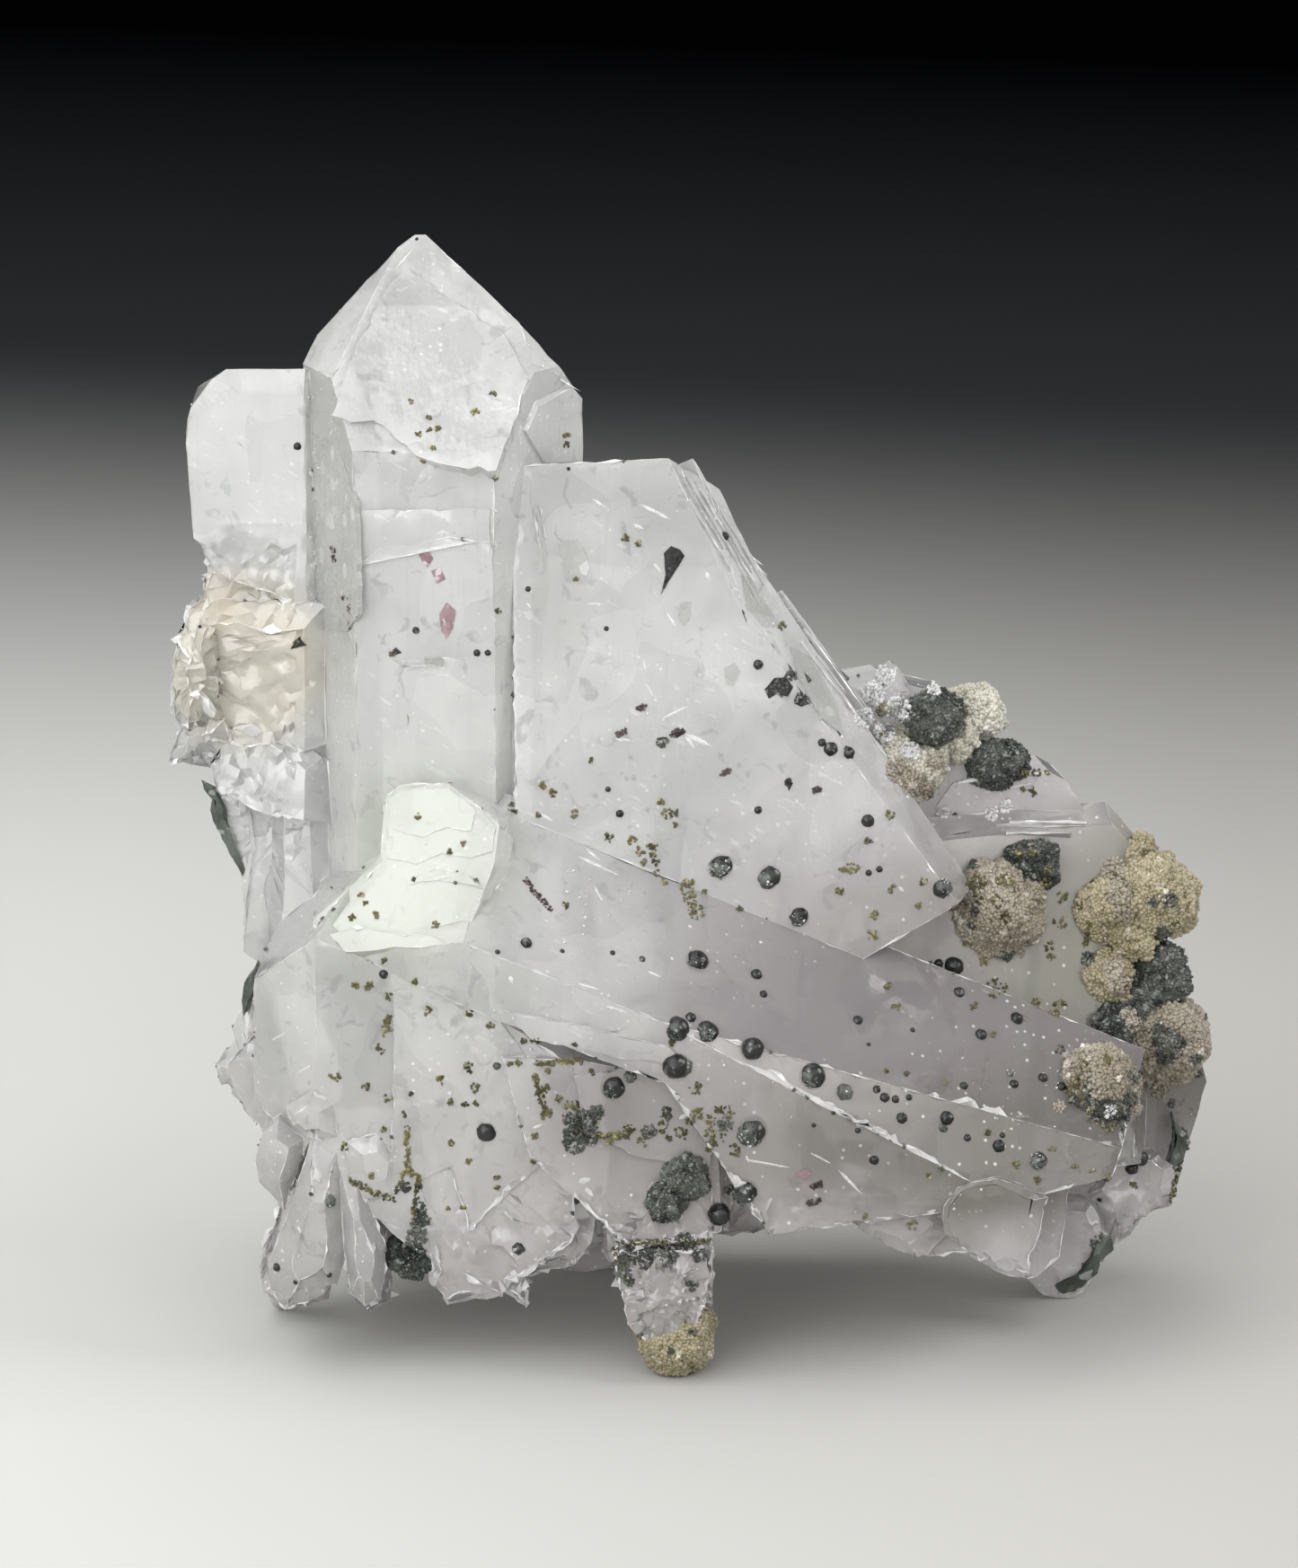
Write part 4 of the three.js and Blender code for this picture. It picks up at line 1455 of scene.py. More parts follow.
class GrainPoints:
    """A cloud of points for grains of one kind, each with its own size."""

    def __init__(self, seed: int) -> None:
        """Starts an empty cloud.

        Args:
            seed: what its random values start from.
        """
        self.places: list[Vector] = []
        self.sizes: list[float] = []
        self.chance = random.Random(seed)

    def add(self, place: Vector, size: float) -> None:
        """Adds a grain.

        Args:
            place: its middle, in metres.
            size: its radius, in mm.
        """
        self.places.append(place)
        self.sizes.append(size)

    def ball(self, sight: Sight, u: float, v: float, radius: float, sunk: float) -> None:
        """One round grain that a pixel shows.

        Args:
            sight: where the surfaces are.
            u: the pixel's column.
            v: the pixel's row.
            radius: its radius, in px.
            sunk: how deep its middle lies, as a share of its radius.
        """
        seen = sight.hit(u, v)
        if seen:
            size = radius * sight.view.mm_per_px
            self.add(seen[0] - seen[1] * size * sunk * MM, size)

    def dust(self, sight: Sight, u: float, v: float, reach: float, count: int, size: float) -> None:
        """Small grains spread over a disc of pixels.

        Args:
            sight: where the surfaces are.
            u: the disc's middle column.
            v: its middle row.
            reach: its radius, in px.
            count: how many grains.
            size: their radius, in mm.
        """
        for _ in range(count):
            away = reach * math.sqrt(self.chance.random())
            turn = self.chance.uniform(0, 2 * math.pi)
            seen = sight.hit(u + away * math.cos(turn), v + away * math.sin(turn))
            if seen:
                grain = size * self.chance.uniform(0.6, 1.3)
                self.add(seen[0] + seen[1] * grain * self.chance.uniform(-0.3, 0.6) * MM, grain)

    def shell(self, middle: Vector, radius: float, count: int, size: float) -> None:
        """Small grains all over a ball.

        Args:
            middle: the ball's middle, in metres.
            radius: its radius, in mm.
            count: how many grains.
            size: their radius, in mm.
        """
        for _ in range(count):
            away = Vector([self.chance.gauss(0, 1) for _ in range(3)]).normalized()
            self.add(middle + away * radius * MM, size * self.chance.uniform(0.6, 1.3))

    def all_round(self, piece: bpy.types.Object, count: int, size: float, where: object) -> None:
        """Grains spread over the sides that the photograph doesn't show.

        Args:
            piece: the piece to spread them on.
            count: how many places are tried.
            size: their radius, in mm.
            where: a function of place and normal, in mm, that says how likely a grain is.
        """
        faces = piece.data.polygons
        picked = self.chance.choices(range(len(faces)), weights=[face.area for face in faces], k=count)
        for index in picked:
            face = faces[index]
            place = face.center.copy()
            if self.chance.random() < where(place / MM, face.normal):
                grain = size * self.chance.uniform(0.5, 1.5)
                self.add(place + face.normal * grain * 0.2 * MM, grain)

    def build(self, name: str) -> bpy.types.Object:
        """A mesh of bare vertices with the attribute grow.

        Args:
            name: the piece's name.

        Returns:
            The object.
        """
        mesh = bpy.data.meshes.new(name)
        mesh.from_pydata([tuple(place) for place in self.places], [], [])
        grow = mesh.attributes.new("grow", "FLOAT", "POINT")
        grow.data.foreach_set("value", self.sizes)
        return link(name, mesh)


# Round dark grains that the photograph shows, as column, row and radius in its pixels.
BLACK_SPHERULES = (
    (633, 522, 2.5), (588, 656, 3), (675, 700, 3), (677, 879, 3.5), (844, 902, 4.5), (966, 914, 8),
    (915, 827, 5), (925, 834, 8), (945, 838, 7), (586, 1050, 7), (554, 1060, 3), (715, 1068, 3.5),
    (626, 1059, 2.5), (682, 1061, 3), (967, 972, 4), (979, 968, 4.5), (1045, 1073, 5), (1062, 1076, 10),
    (1068, 1105, 6), (1132, 1134, 8), (1092, 1152, 7), (541, 1261, 13), (769, 1133, 6), (842, 1085, 6),
    (850, 1107, 5), (955, 1136, 5), (976, 1213, 5), (985, 1222, 6), (997, 1224, 4), (1012, 1222, 3.5),
    (1004, 1245, 6), (955, 1259, 4), (973, 1292, 5), (1054, 1245, 7), (1073, 1209, 5), (1129, 1207, 6),
    (1161, 1200, 6), (1182, 1210, 6), (1112, 1276, 7), (1116, 1264, 4), (1077, 1267, 4), (1016, 1147, 3),
    (967, 1163, 3), (308, 1411, 5), (329, 1428, 3), (367, 1420, 3), (427, 1085, 5), (464, 266, 2),
    (331, 497, 4), (1260, 1301, 8), (1272, 1290, 10), (928, 1239, 3), (906, 1253, 3), (1224, 1336, 3.5),
    (463, 702, 4), (531, 727, 4), (543, 727, 4), (844, 740, 5), (690, 906, 4), (807, 597, 5),
)
# Grey balls of fine grains, some of them with a silvery look.
GREY_BALLS = (
    (801, 967, 16), (855, 979, 13), (888, 1023, 12), (775, 1071, 13), (753, 1148, 13), (786, 1151, 13),
    (835, 1168, 12), (903, 1200, 14), (940, 1216, 10), (835, 1264, 18), (827, 1330, 16), (800, 1353, 14),
    (756, 1187, 16), (1050, 989, 12), (1155, 1294, 12), (681, 1214, 13), (702, 1199, 8), (553, 1187, 5),
    (577, 1391, 8), (368, 1338, 9), (747, 1347, 9), (1125, 1195, 6), (1050, 1256, 6), (641, 1336, 6),
)
# Olive grains: column, row and reach in pixels of each small heap.
OLIVE_HEAPS = (
    (697, 600, 6), (711, 605, 5), (658, 847, 3), (604, 875, 5), (616, 883, 5), (639, 906, 5),
    (735, 893, 4), (743, 906, 7), (754, 905, 4), (751, 918, 4), (678, 933, 6), (726, 942, 4),
    (991, 907, 6), (967, 937, 6), (949, 966, 8), (938, 968, 4), (935, 993, 6), (993, 990, 6),
    (1029, 982, 6), (973, 1018, 7), (971, 1040, 8), (571, 899, 8), (599, 908, 3), (717, 961, 5),
    (732, 972, 5), (739, 982, 5), (765, 990, 10), (773, 1010, 10), (783, 994, 4), (823, 1012, 4),
    (981, 794, 5), (979, 816, 5), (870, 697, 6), (457, 447, 3), (549, 439, 4), (528, 458, 6),
    (478, 465, 3), (466, 483, 4), (478, 479, 3), (487, 477, 3), (482, 499, 3), (471, 513, 3),
    (630, 485, 5), (631, 495, 4), (551, 533, 4), (382, 663, 4), (555, 681, 5), (466, 909, 4),
    (485, 1030, 5), (402, 996, 4), (407, 1005, 3), (420, 1018, 4), (392, 1022, 4), (501, 948, 3),
    (516, 938, 4), (427, 1070, 4), (462, 1092, 4), (630, 1008, 4), (396, 1097, 5), (411, 1098, 6),
    (433, 1109, 5), (432, 1135, 6), (429, 1148, 8), (423, 1168, 7), (475, 1126, 6), (523, 1128, 5),
    (546, 1142, 4), (583, 1159, 4), (596, 1159, 5), (639, 1162, 4), (373, 1199, 7), (408, 1209, 5),
    (432, 1223, 6), (457, 1217, 3), (491, 1203, 6), (522, 1189, 7), (529, 1211, 6), (502, 1227, 4),
    (518, 1229, 4), (531, 1229, 4), (567, 1186, 4), (578, 1184, 4), (502, 1271, 5), (521, 1293, 4),
    (595, 1265, 5), (594, 1293, 4), (450, 1241, 4), (385, 1277, 6), (427, 1257, 4), (774, 1211, 8),
    (595, 1199, 4), (600, 1220, 6), (609, 1239, 6), (610, 1194, 4), (622, 1223, 5), (742, 1241, 6),
    (744, 1268, 5), (768, 1247, 6), (792, 1247, 9), (789, 1263, 7), (678, 1268, 8), (691, 1265, 6),
    (660, 1193, 5), (642, 1233, 5), (664, 1247, 5), (413, 1309, 4), (499, 1346, 3), (516, 1345, 3),
    (553, 1311, 3), (554, 1322, 3), (1016, 1364, 6), (963, 1354, 4), (1099, 1261, 4), (1171, 1280, 4),
    (1131, 1296, 5), (1155, 1314, 5), (1197, 1300, 4), (1215, 1303, 4), (1048, 1302, 4), (1035, 1310, 4),
    (1233, 1311, 5), (1261, 1320, 6), (1182, 1000, 8), (1180, 1027, 9), (1201, 1008, 6), (1168, 1054, 7),
    (1170, 1066, 5), (1077, 1051, 6), (1094, 1070, 7), (1110, 1101, 14), (997, 1121, 6), (987, 1097, 6),
    (1084, 1121, 5), (1153, 1117, 7), (1180, 1121, 9), (1174, 1128, 6), (1104, 1152, 4), (1180, 1169, 6),
    (1053, 1206, 4), (1009, 1196, 4), (987, 1193, 3), (1197, 1214, 15), (1221, 1198, 8), (1088, 981, 12),
    (1116, 977, 10), (1149, 881, 6), (1140, 878, 4), (1154, 861, 6), (1141, 861, 5), (1166, 861, 4),
    (437, 727, 4), (641, 645, 3), (330, 716, 4), (749, 1160, 5), (800, 1235, 6), (1022, 1008, 4),
    (1082, 984, 9), (1090, 998, 9), (1080, 1010, 6), (1120, 981, 9), (1132, 950, 9), (1150, 946, 8),
    (1168, 968, 7), (1164, 984, 7), (1215, 1240, 12), (1230, 1250, 12), (1196, 1214, 9), (1204, 1226, 9),
    (1296, 1172, 8), (1258, 1226, 8), (1238, 1252, 8), (1310, 1030, 6), (1286, 1042, 7), (726, 945, 8),
    (728, 958, 8), (712, 948, 6), (766, 985, 9), (768, 1000, 9), (775, 1016, 9), (704, 936, 6),
    (606, 1212, 6), (608, 1242, 7), (634, 1231, 7), (700, 1258, 8), (716, 1270, 8), (738, 1254, 9),
    (758, 1262, 9), (776, 1240, 9), (800, 1266, 10), (812, 1238, 9), (818, 1280, 8), (792, 1276, 8),
    (1222, 1236, 12), (1212, 1222, 11), (1236, 1226, 10), (1200, 1204, 10), (1210, 1188, 9), (1232, 1180, 8),
    (1088, 985, 10), (1110, 1004, 9), (1120, 1022, 8),
)
# Lines of dark olive grains along old cracks: pixel to pixel.
OLIVE_CHAINS = (
    ((388, 1313), (412, 1325)), ((412, 1325), (438, 1337)), ((454, 1256), (454, 1300)),
    ((453, 1301), (442, 1325)), ((453, 1301), (466, 1312)), ((466, 1312), (460, 1356)),
    ((597, 1184), (648, 1181)), ((642, 1262), (700, 1266)), ((595, 1199), (609, 1240)),
    ((690, 1385), (790, 1382)), ((684, 1392), (702, 1430)), ((1228, 1376), (1218, 1402)),
    ((1218, 1402), (1208, 1425)), ((1208, 1425), (1186, 1436)), ((1213, 1025), (1208, 1052)),
    ((1304, 1335), (1318, 1268)),
)
# Heaps of dark green grains: column, row and reach in pixels.
DARK_HEAPS = (
    (642, 1262, 15), (656, 1266, 9), (868, 765, 10), (880, 752, 6), (892, 779, 7), (762, 1384, 11),
    (728, 1390, 10), (700, 1395, 9), (691, 1412, 11), (771, 1432, 6), (745, 1505, 4), (713, 1487, 3),
    (771, 1484, 4), (782, 1306, 6), (813, 1325, 6), (1239, 1240, 20), (1257, 1222, 9), (1263, 1198, 8),
    (1302, 1003, 8), (1296, 1040, 9), (1297, 1175, 10), (1331, 1179, 7), (1333, 1197, 4), (1084, 963, 6),
    (1084, 1016, 5), (1081, 1031, 4), (1211, 1068, 8), (1222, 1384, 8), (1212, 1412, 8), (1196, 1430, 8),
    (1305, 1228, 5), (1317, 1262, 6), (1318, 1277, 6), (1311, 1300, 5), (1121, 1064, 6), (1170, 973, 6),
    (1345, 1132, 4), (452, 1322, 6), (465, 1321, 5), (467, 1346, 8), (468, 1362, 10), (464, 1378, 12),
    (460, 1394, 13), (456, 1410, 12), (450, 1424, 9), (444, 1432, 5), (474, 1358, 6), (634, 1246, 8),
    (650, 1250, 14), (640, 1270, 14), (664, 1238, 8), (722, 1260, 8), (742, 1240, 7), (808, 1252, 8), (737, 826, 6), (878, 872, 4), (1104, 868, 8),
    (1292, 1152, 13), (1302, 1172, 12), (1312, 1160, 8), (1283, 1005, 5),
    (716, 1402, 12), (745, 1400, 10), (778, 1398, 8), (700, 1425, 7), (1204, 1222, 12), (1222, 1236, 12),
    (1228, 1234, 9), (1216, 1208, 8), (1242, 1243, 9), (1206, 1224, 7),
)
# Reddish flecks: pixel to pixel.
RED_FLECKS = (
    ((585, 980), (598, 997)), ((598, 997), (612, 1012)), ((390, 665), (390, 698)),
    ((687, 818), (697, 814)), ((748, 818), (760, 812)), ((710, 790), (718, 786)), ((904, 1322), (916, 1317)),
    ((900, 1340), (912, 1337)), ((908, 880), (912, 878)), ((805, 862), (811, 857)), ((371, 612), (373, 624)),
)


# Small white crystals that glint: column, row and reach in pixels of each sprinkling.
SPARKLES = (
    (375, 478, 14), (345, 440, 8), (350, 520, 9), (345, 600, 10), (347, 660, 9), (566, 540, 8),
    (552, 570, 8), (550, 620, 10), (590, 390, 8), (610, 405, 8), (628, 420, 8), (500, 590, 14),
    (520, 606, 8), (770, 540, 10), (800, 570, 10), (830, 630, 12), (860, 690, 12), (900, 745, 14),
    (950, 820, 14), (1000, 890, 12), (640, 985, 22), (660, 1010, 24), (645, 1050, 20), (690, 1000, 14),
    (715, 790, 8), (730, 742, 8), (680, 1350, 12), (700, 1330, 9), (990, 765, 12), (1050, 870, 16),
    (1110, 985, 18), (1290, 990, 20), (1236, 1047, 12), (1290, 1150, 20), (1225, 1210, 16), (760, 1150, 14),
    (700, 1180, 12), (800, 1178, 12), (590, 1180, 14), (560, 1130, 12), (320, 1290, 16), (360, 1330, 20),
    (400, 1390, 16), (1080, 1340, 20), (1180, 1200, 20), (1120, 1240, 20), (735, 1440, 22), (745, 915, 14),
)
DARK_FLAKES = (
    ((736, 662), (741, 640), (739, 616), (747, 608), (757, 612), (762, 619), (753, 634), (744, 648)),
    ((856, 778), (851, 768), (862, 755), (875, 754), (883, 765), (877, 776), (866, 772)),
    ((884, 783), (888, 771), (898, 774), (903, 783), (892, 787)),
    ((323, 723), (333, 709), (338, 719)),
    ((433, 731), (440, 721), (447, 727)),
    ((875, 867), (883, 872), (878, 881)),
    ((895, 747), (906, 756), (900, 761)),
    ((933, 744), (945, 754), (938, 759)),
    ((746, 818), (755, 812), (762, 817), (753, 822)),
)
PINK_FLAKES = (
    ((489, 684), (497, 671), (507, 680), (504, 700), (497, 712), (490, 700)),
    ((466, 618), (474, 610), (482, 622), (476, 632)),
    ((480, 636), (490, 632), (496, 645), (486, 650)),
    ((885, 1308), (895, 1302), (904, 1306), (896, 1314)),
)
GREY_WINDOWS = (
    ((338, 500), (344, 482), (372, 482), (376, 500), (386, 525), (395, 562), (397, 620), (398, 684), (386, 704),
     (352, 700), (338, 690)),
    ((622, 604), (640, 601), (652, 612), (656, 632), (650, 650), (630, 648)),
    ((757, 672), (768, 670), (769, 686), (762, 698), (755, 690)),
    ((806, 744), (818, 738), (824, 748), (816, 764), (808, 760)),
    ((472, 734), (493, 734), (493, 743), (474, 744)),
    ((826, 640), (840, 650), (870, 700), (850, 700), (832, 676)),
    ((880, 720), (900, 730), (930, 780), (940, 820), (915, 800), (890, 756)),
)
# White slivers painted as glints on cracks and edges: each one's ends and width in pixels.
BRIGHT_SLIVERS = (
    ((704, 584), (717, 589), 4), ((711, 561), (748, 579), 4), ((727, 627), (736, 637), 4), ((786, 637), (791, 648), 5),
    ((795, 649), (822, 657), 6), ((652, 673), (672, 673), 4), ((741, 681), (753, 698), 3), ((708, 731), (713, 733), 4),
    ((734, 744), (737, 747), 4), ((761, 817), (793, 831), 6), ((763, 820), (774, 834), 4), ((684, 823), (706, 825), 4),
    ((586, 671), (591, 677), 3), ((659, 555), (679, 569), 3), ((489, 592), (502, 597), 6), ((493, 600), (506, 606), 6),
    ((542, 598), (553, 608), 7), ((342, 526), (351, 530), 6), ((367, 532), (374, 535), 6), ((348, 614), (353, 617), 6),
    ((371, 643), (376, 648), 5), ((377, 557), (381, 559), 4), ((344, 671), (349, 675), 5), ((361, 660), (364, 668), 4),
    ((760, 518), (789, 606), 5), ((768, 520), (782, 562), 5), ((782, 562), (794, 600), 3), ((807, 600), (825, 674), 6),
    ((822, 607), (850, 643), 5), ((830, 610), (846, 632), 3), ((788, 541), (799, 577), 4), ((775, 520), (792, 560), 2),
    ((746, 512), (762, 552), 3), ((798, 560), (806, 592), 3), ((812, 640), (818, 664), 2), ((842, 690), (860, 716), 2),
    ((640, 952), (690, 975), 5), ((648, 942), (668, 958), 4), ((660, 985), (672, 1005), 3), ((596, 905), (616, 914), 5),
    ((470, 980), (505, 975), 3), ((560, 1122), (600, 1158), 3), ((672, 1120), (700, 1128), 4), ((640, 1094), (668, 1102), 3),
    ((718, 1080), (736, 1088), 3), ((1066, 868), (1120, 866), 5), ((1070, 888), (1150, 872), 4), ((1010, 860), (1028, 868), 5),
    ((586, 1262), (604, 1250), 4), ((330, 1196), (346, 1186), 3), ((300, 1160), (318, 1150), 3), ((820, 1290), (880, 1300), 3),
    ((930, 1300), (960, 1330), 4), ((902, 1284), (926, 1296), 3), ((440, 300), (468, 268), 2), ((486, 268), (560, 350), 2),
    ((600, 400), (640, 440), 3), ((596, 392), (620, 420), 5), ((738, 800), (766, 786), 3), ((716, 758), (728, 776), 2),
)
# Black slivers painted as the shade in narrow slits: each one's ends and width in pixels.
DARK_SLITS = (
    ((825, 678), (833, 694), 5), ((858, 716), (863, 722), 3), ((876, 738), (889, 758), 6), ((899, 707), (904, 718), 3),
    ((894, 745), (908, 760), 6), ((931, 740), (950, 763), 5), ((931, 812), (938, 823), 5), ((331, 1324), (344, 1272), 5),
    ((1058, 930), (1082, 926), 2), ((402, 1392), (410, 1374), 3), ((640, 1224), (652, 1240), 4),
)
GREEN_EDGES = (
    Shard(
        ((287, 1070), (280, 1084), (272, 1094), (269, 1114), (271, 1132), (279, 1122), (284, 1106), (294, 1084)),
        front=-5.0, deep=1.6, peak=(280, 1100), rise=0.3, step=6.0, wobble=2.0,
    ),
    Shard(
        ((224, 868), (227, 879), (236, 890), (234, 902), (237, 914), (245, 928), (256, 952), (270, 976), (273, 968),
         (262, 944), (253, 924), (252, 902), (246, 888), (236, 874)),
        front=-1.3, deep=1.6, peak=(246, 906), rise=0.25, step=6.0, wobble=2.0,
    ),
    Shard(
        ((1212, 1402), (1222, 1380), (1236, 1376), (1240, 1392), (1224, 1404), (1222, 1418), (1204, 1434),
         (1184, 1441), (1174, 1432), (1196, 1420)),
        front=-7.0, deep=1.4, peak=(1212, 1412), rise=0.4, step=5.0,
    ),
    Shard(
        ((1304, 1236), (1316, 1258), (1326, 1272), (1318, 1290), (1308, 1300), (1300, 1330), (1294, 1318),
         (1304, 1286), (1308, 1268)),
        front=-2.0, deep=1.4, peak=(1310, 1276), rise=0.4, step=5.0,
    ),
)
# Crusts of white crystals on the crest: column, row and reach in pixels.
WHITE_CRUSTS = (
    (972, 772, 13), (986, 752, 10), (1000, 790, 14), (962, 800, 11), (1014, 742, 9), (985, 815, 12),
    (1040, 768, 8), (1012, 836, 10), (1104, 905, 8), (1120, 898, 7), (1050, 905, 7), (1236, 1238, 7),
)
# Heaps of pale sugar on the quartz beside the tan balls: column, row and reach in pixels.
SUGAR_HEAPS = (
    (1240, 968, 14), (1246, 994, 14), (1250, 1018, 10), (1240, 1078, 12), (1246, 1096, 12), (1226, 1200, 13),
    (1240, 1212, 12), (1216, 1216, 9), (1000, 858, 14), (1016, 872, 14), (1040, 846, 10), (1030, 880, 10),
    (984, 790, 8), (1262, 1140, 9), (1256, 1130, 8), (1290, 1214, 9), (1180, 1232, 7), (1094, 1028, 8),
)


@dataclass
class Flakes:
    """Thin flat crystals that lie on the quartz with an outline that the photograph shows."""

    view: PhotoView
    quartz: bpy.types.Object
    proud: float = 0.05

    def build(self, name: str, outlines: tuple, finish: bpy.types.Material) -> None:
        """Makes one piece of several flakes.

        Args:
            name: the piece's name.
            outlines: each flake's corners, in pixels.
            finish: the material.
        """
        tree = Quartz.surface(self.quartz)
        flakes = []
        for outline in outlines:
            spot = tuple(sum(corner[axis] for corner in outline) / len(outline) for axis in (0, 1))
            flakes.append(Plate(outline, spot, self.proud, root=0.3, step=8.0, wobble=1.2).build(self.view, tree))
        join_pieces(name, flakes, finish)

    def build_crusts(self, name: str, shards: tuple, finish: bpy.types.Material) -> None:
        """Makes one piece of several crusts along the quartz's edges.

        Args:
            name: the piece's name.
            shards: the crusts.
            finish: the material.
        """
        join_pieces(name, [shard.build(self.view) for shard in shards], finish)


def join_pieces(name: str, parts: list[bpy.types.Object], finish: bpy.types.Material) -> None:
    """Puts several meshes into one dark piece and deletes them.

    Args:
        name: the new piece's name.
        parts: the meshes' objects.
        finish: the material.
    """
    form = bmesh.new()
    for part in parts:
        form.from_mesh(part.data)
        drop(part)
    piece = link_bmesh(name, form)
    piece.data.materials.append(finish)
    own(piece, Slot.CHLORITE)


@dataclass
class Veils:
    """Healed cracks inside the crystals: thin lenses, white and patchy."""

    quartz: bpy.types.Object
    count: int = 60
    corners: int = 14
    thick: float = 0.04
    left_end: float = -25.0
    top_end: float = 52.0
    seed: int = 21

    def lens(self, form: bmesh.types.BMesh, middle: Vector, facing: Vector, size: float, chance: random.Random) -> None:
        """Adds one lens.

        Args:
            form: what it is added to.
            middle: its middle, in metres.
            facing: its normal.
            size: its radius, in mm.
            chance: the random values.
        """
        side = facing.orthogonal().normalized()
        other = facing.cross(side)
        stretch = chance.uniform(0.35, 0.9)
        rim = []
        for k in range(self.corners):
            turn = 2 * math.pi * k / self.corners
            reach = size * chance.uniform(0.6, 1.15) * MM
            bend = facing * size * 0.12 * math.cos(2 * turn) * MM
            rim.append(form.verts.new(
                middle + side * math.cos(turn) * reach + other * math.sin(turn) * reach * stretch + bend
            ))
        for way in (1, -1):
            top = form.verts.new(middle + facing * way * self.thick * MM)
            for k in range(self.corners):
                pair = (rim[k], rim[(k + 1) % self.corners])
                form.faces.new((*pair[::way], top))

    @staticmethod
    def inside(tree: BVHTree, place: Vector) -> bool:
        """Whether a straight way out of a place crosses the surface an odd number of times."""
        way = Vector((0.31, -0.9, 0.3)).normalized()
        crossings = 0
        found = tree.ray_cast(place, way)
        while found[0] is not None and crossings < 40:
            crossings += 1
            found = tree.ray_cast(found[0] + way * 0.01 * MM, way)
        return crossings % 2 == 1

    def build(self, finish: bpy.types.Material) -> None:
        """Spreads the lenses under the surface.

        Args:
            finish: the material.
        """
        chance = random.Random(self.seed)
        faces = self.quartz.data.polygons
        picked = chance.choices(range(len(faces)), weights=[face.area for face in faces], k=self.count)
        tree = Quartz.surface(self.quartz)
        form = bmesh.new()
        for index in picked:
            face = faces[index]
            middle = face.center - face.normal * chance.uniform(1.0, 4.0) * MM
            facing = (face.normal + Vector([chance.gauss(0, 0.6) for _ in range(3)])).normalized()
            nearest, _, _, distance = tree.find_nearest(middle)
            size = min(chance.uniform(0.8, 3.4), distance / MM / 1.3)
            deep = middle.x > self.left_end * MM and middle.z < self.top_end * MM
            if size > 0.4 and deep and self.inside(tree, middle):
                self.lens(form, middle, facing, size, chance)
        veils = link_bmesh("healed_cracks", form)
        veils.data.materials.append(finish)
        own(veils, Slot.QUARTZ)


@dataclass
class Slivers:
    """Fine white slivers on the crystal faces: painted highlights where light catches a healed crack or a growth edge.
    """

    sight: Sight
    quartz: bpy.types.Object
    thick: float = 0.03
    count: int = 420
    slant: tuple[float, float, float] = (0.8, 0.0, -0.55)
    seed: int = 31

    def sliver(
        self, form: bmesh.types.BMesh, place: Vector, facing: Vector, along: Vector, length: float, width: float,
    ) -> None:
        """Adds one sliver, a thin closed lens.

        Args:
            form: what it is added to.
            place: its middle, in metres.
            facing: the surface's normal.
            along: its direction.
            length: its length, in mm.
            width: its width, in mm.
        """
        side = facing.cross(along).normalized() * width / 2 * MM
        ahead = side.cross(facing).normalized() * length / 2 * MM
        rim = [place + ahead * across + side * up for across, up in self.corners()]
        ring = [form.verts.new(point) for point in rim]
        for way in (1, -1):
            top = form.verts.new(place + facing * way * self.thick * MM)
            for k, vert in enumerate(ring):
                pair = (vert, ring[(k + 1) % len(ring)])
                form.faces.new((*pair[::way], top))

    @staticmethod
    def corners() -> tuple[tuple[float, float], ...]:
        """The corners of a sliver one unit long and wide to each side."""
        return (1.0, 0.0), (0.3, 0.9), (-0.5, 1.0), (-1.0, 0.1), (-0.4, -0.8), (0.6, -0.7)

    def build(self, name: str, lines: tuple, finish: bpy.types.Material) -> None:
        """Makes the slivers that the photograph shows, and others on every side.

        Args:
            name: the piece's name.
            lines: each sliver's ends and width, in pixels.
            finish: the material.
        """
        form = bmesh.new()
        for start, end, width in lines:
            first = self.sight.hit(*start)
            last = self.sight.hit(*end)
            if first and last:
                along = last[0] - first[0]
                length = along.length / MM
                wide = width * self.sight.view.mm_per_px
                self.sliver(form, (first[0] + last[0]) / 2, first[1], along.normalized(), length, wide)
        chance = random.Random(self.seed)
        faces = self.quartz.data.polygons
        for index in chance.choices(range(len(faces)), weights=[face.area for face in faces], k=self.count):
            face = faces[index]
            lean = Vector([chance.gauss(0, 0.7) for _ in range(3)])
            along = Vector(self.slant) + lean
            length = 0.14 + chance.random() ** 6 * 0.9
            width = length * chance.uniform(0.15, 0.5) + 0.04
            self.sliver(form, face.center.copy(), face.normal.copy(), along, length, width)
        piece = link_bmesh(name, form)
        piece.data.materials.append(finish)
        own(piece, Slot.QUARTZ)


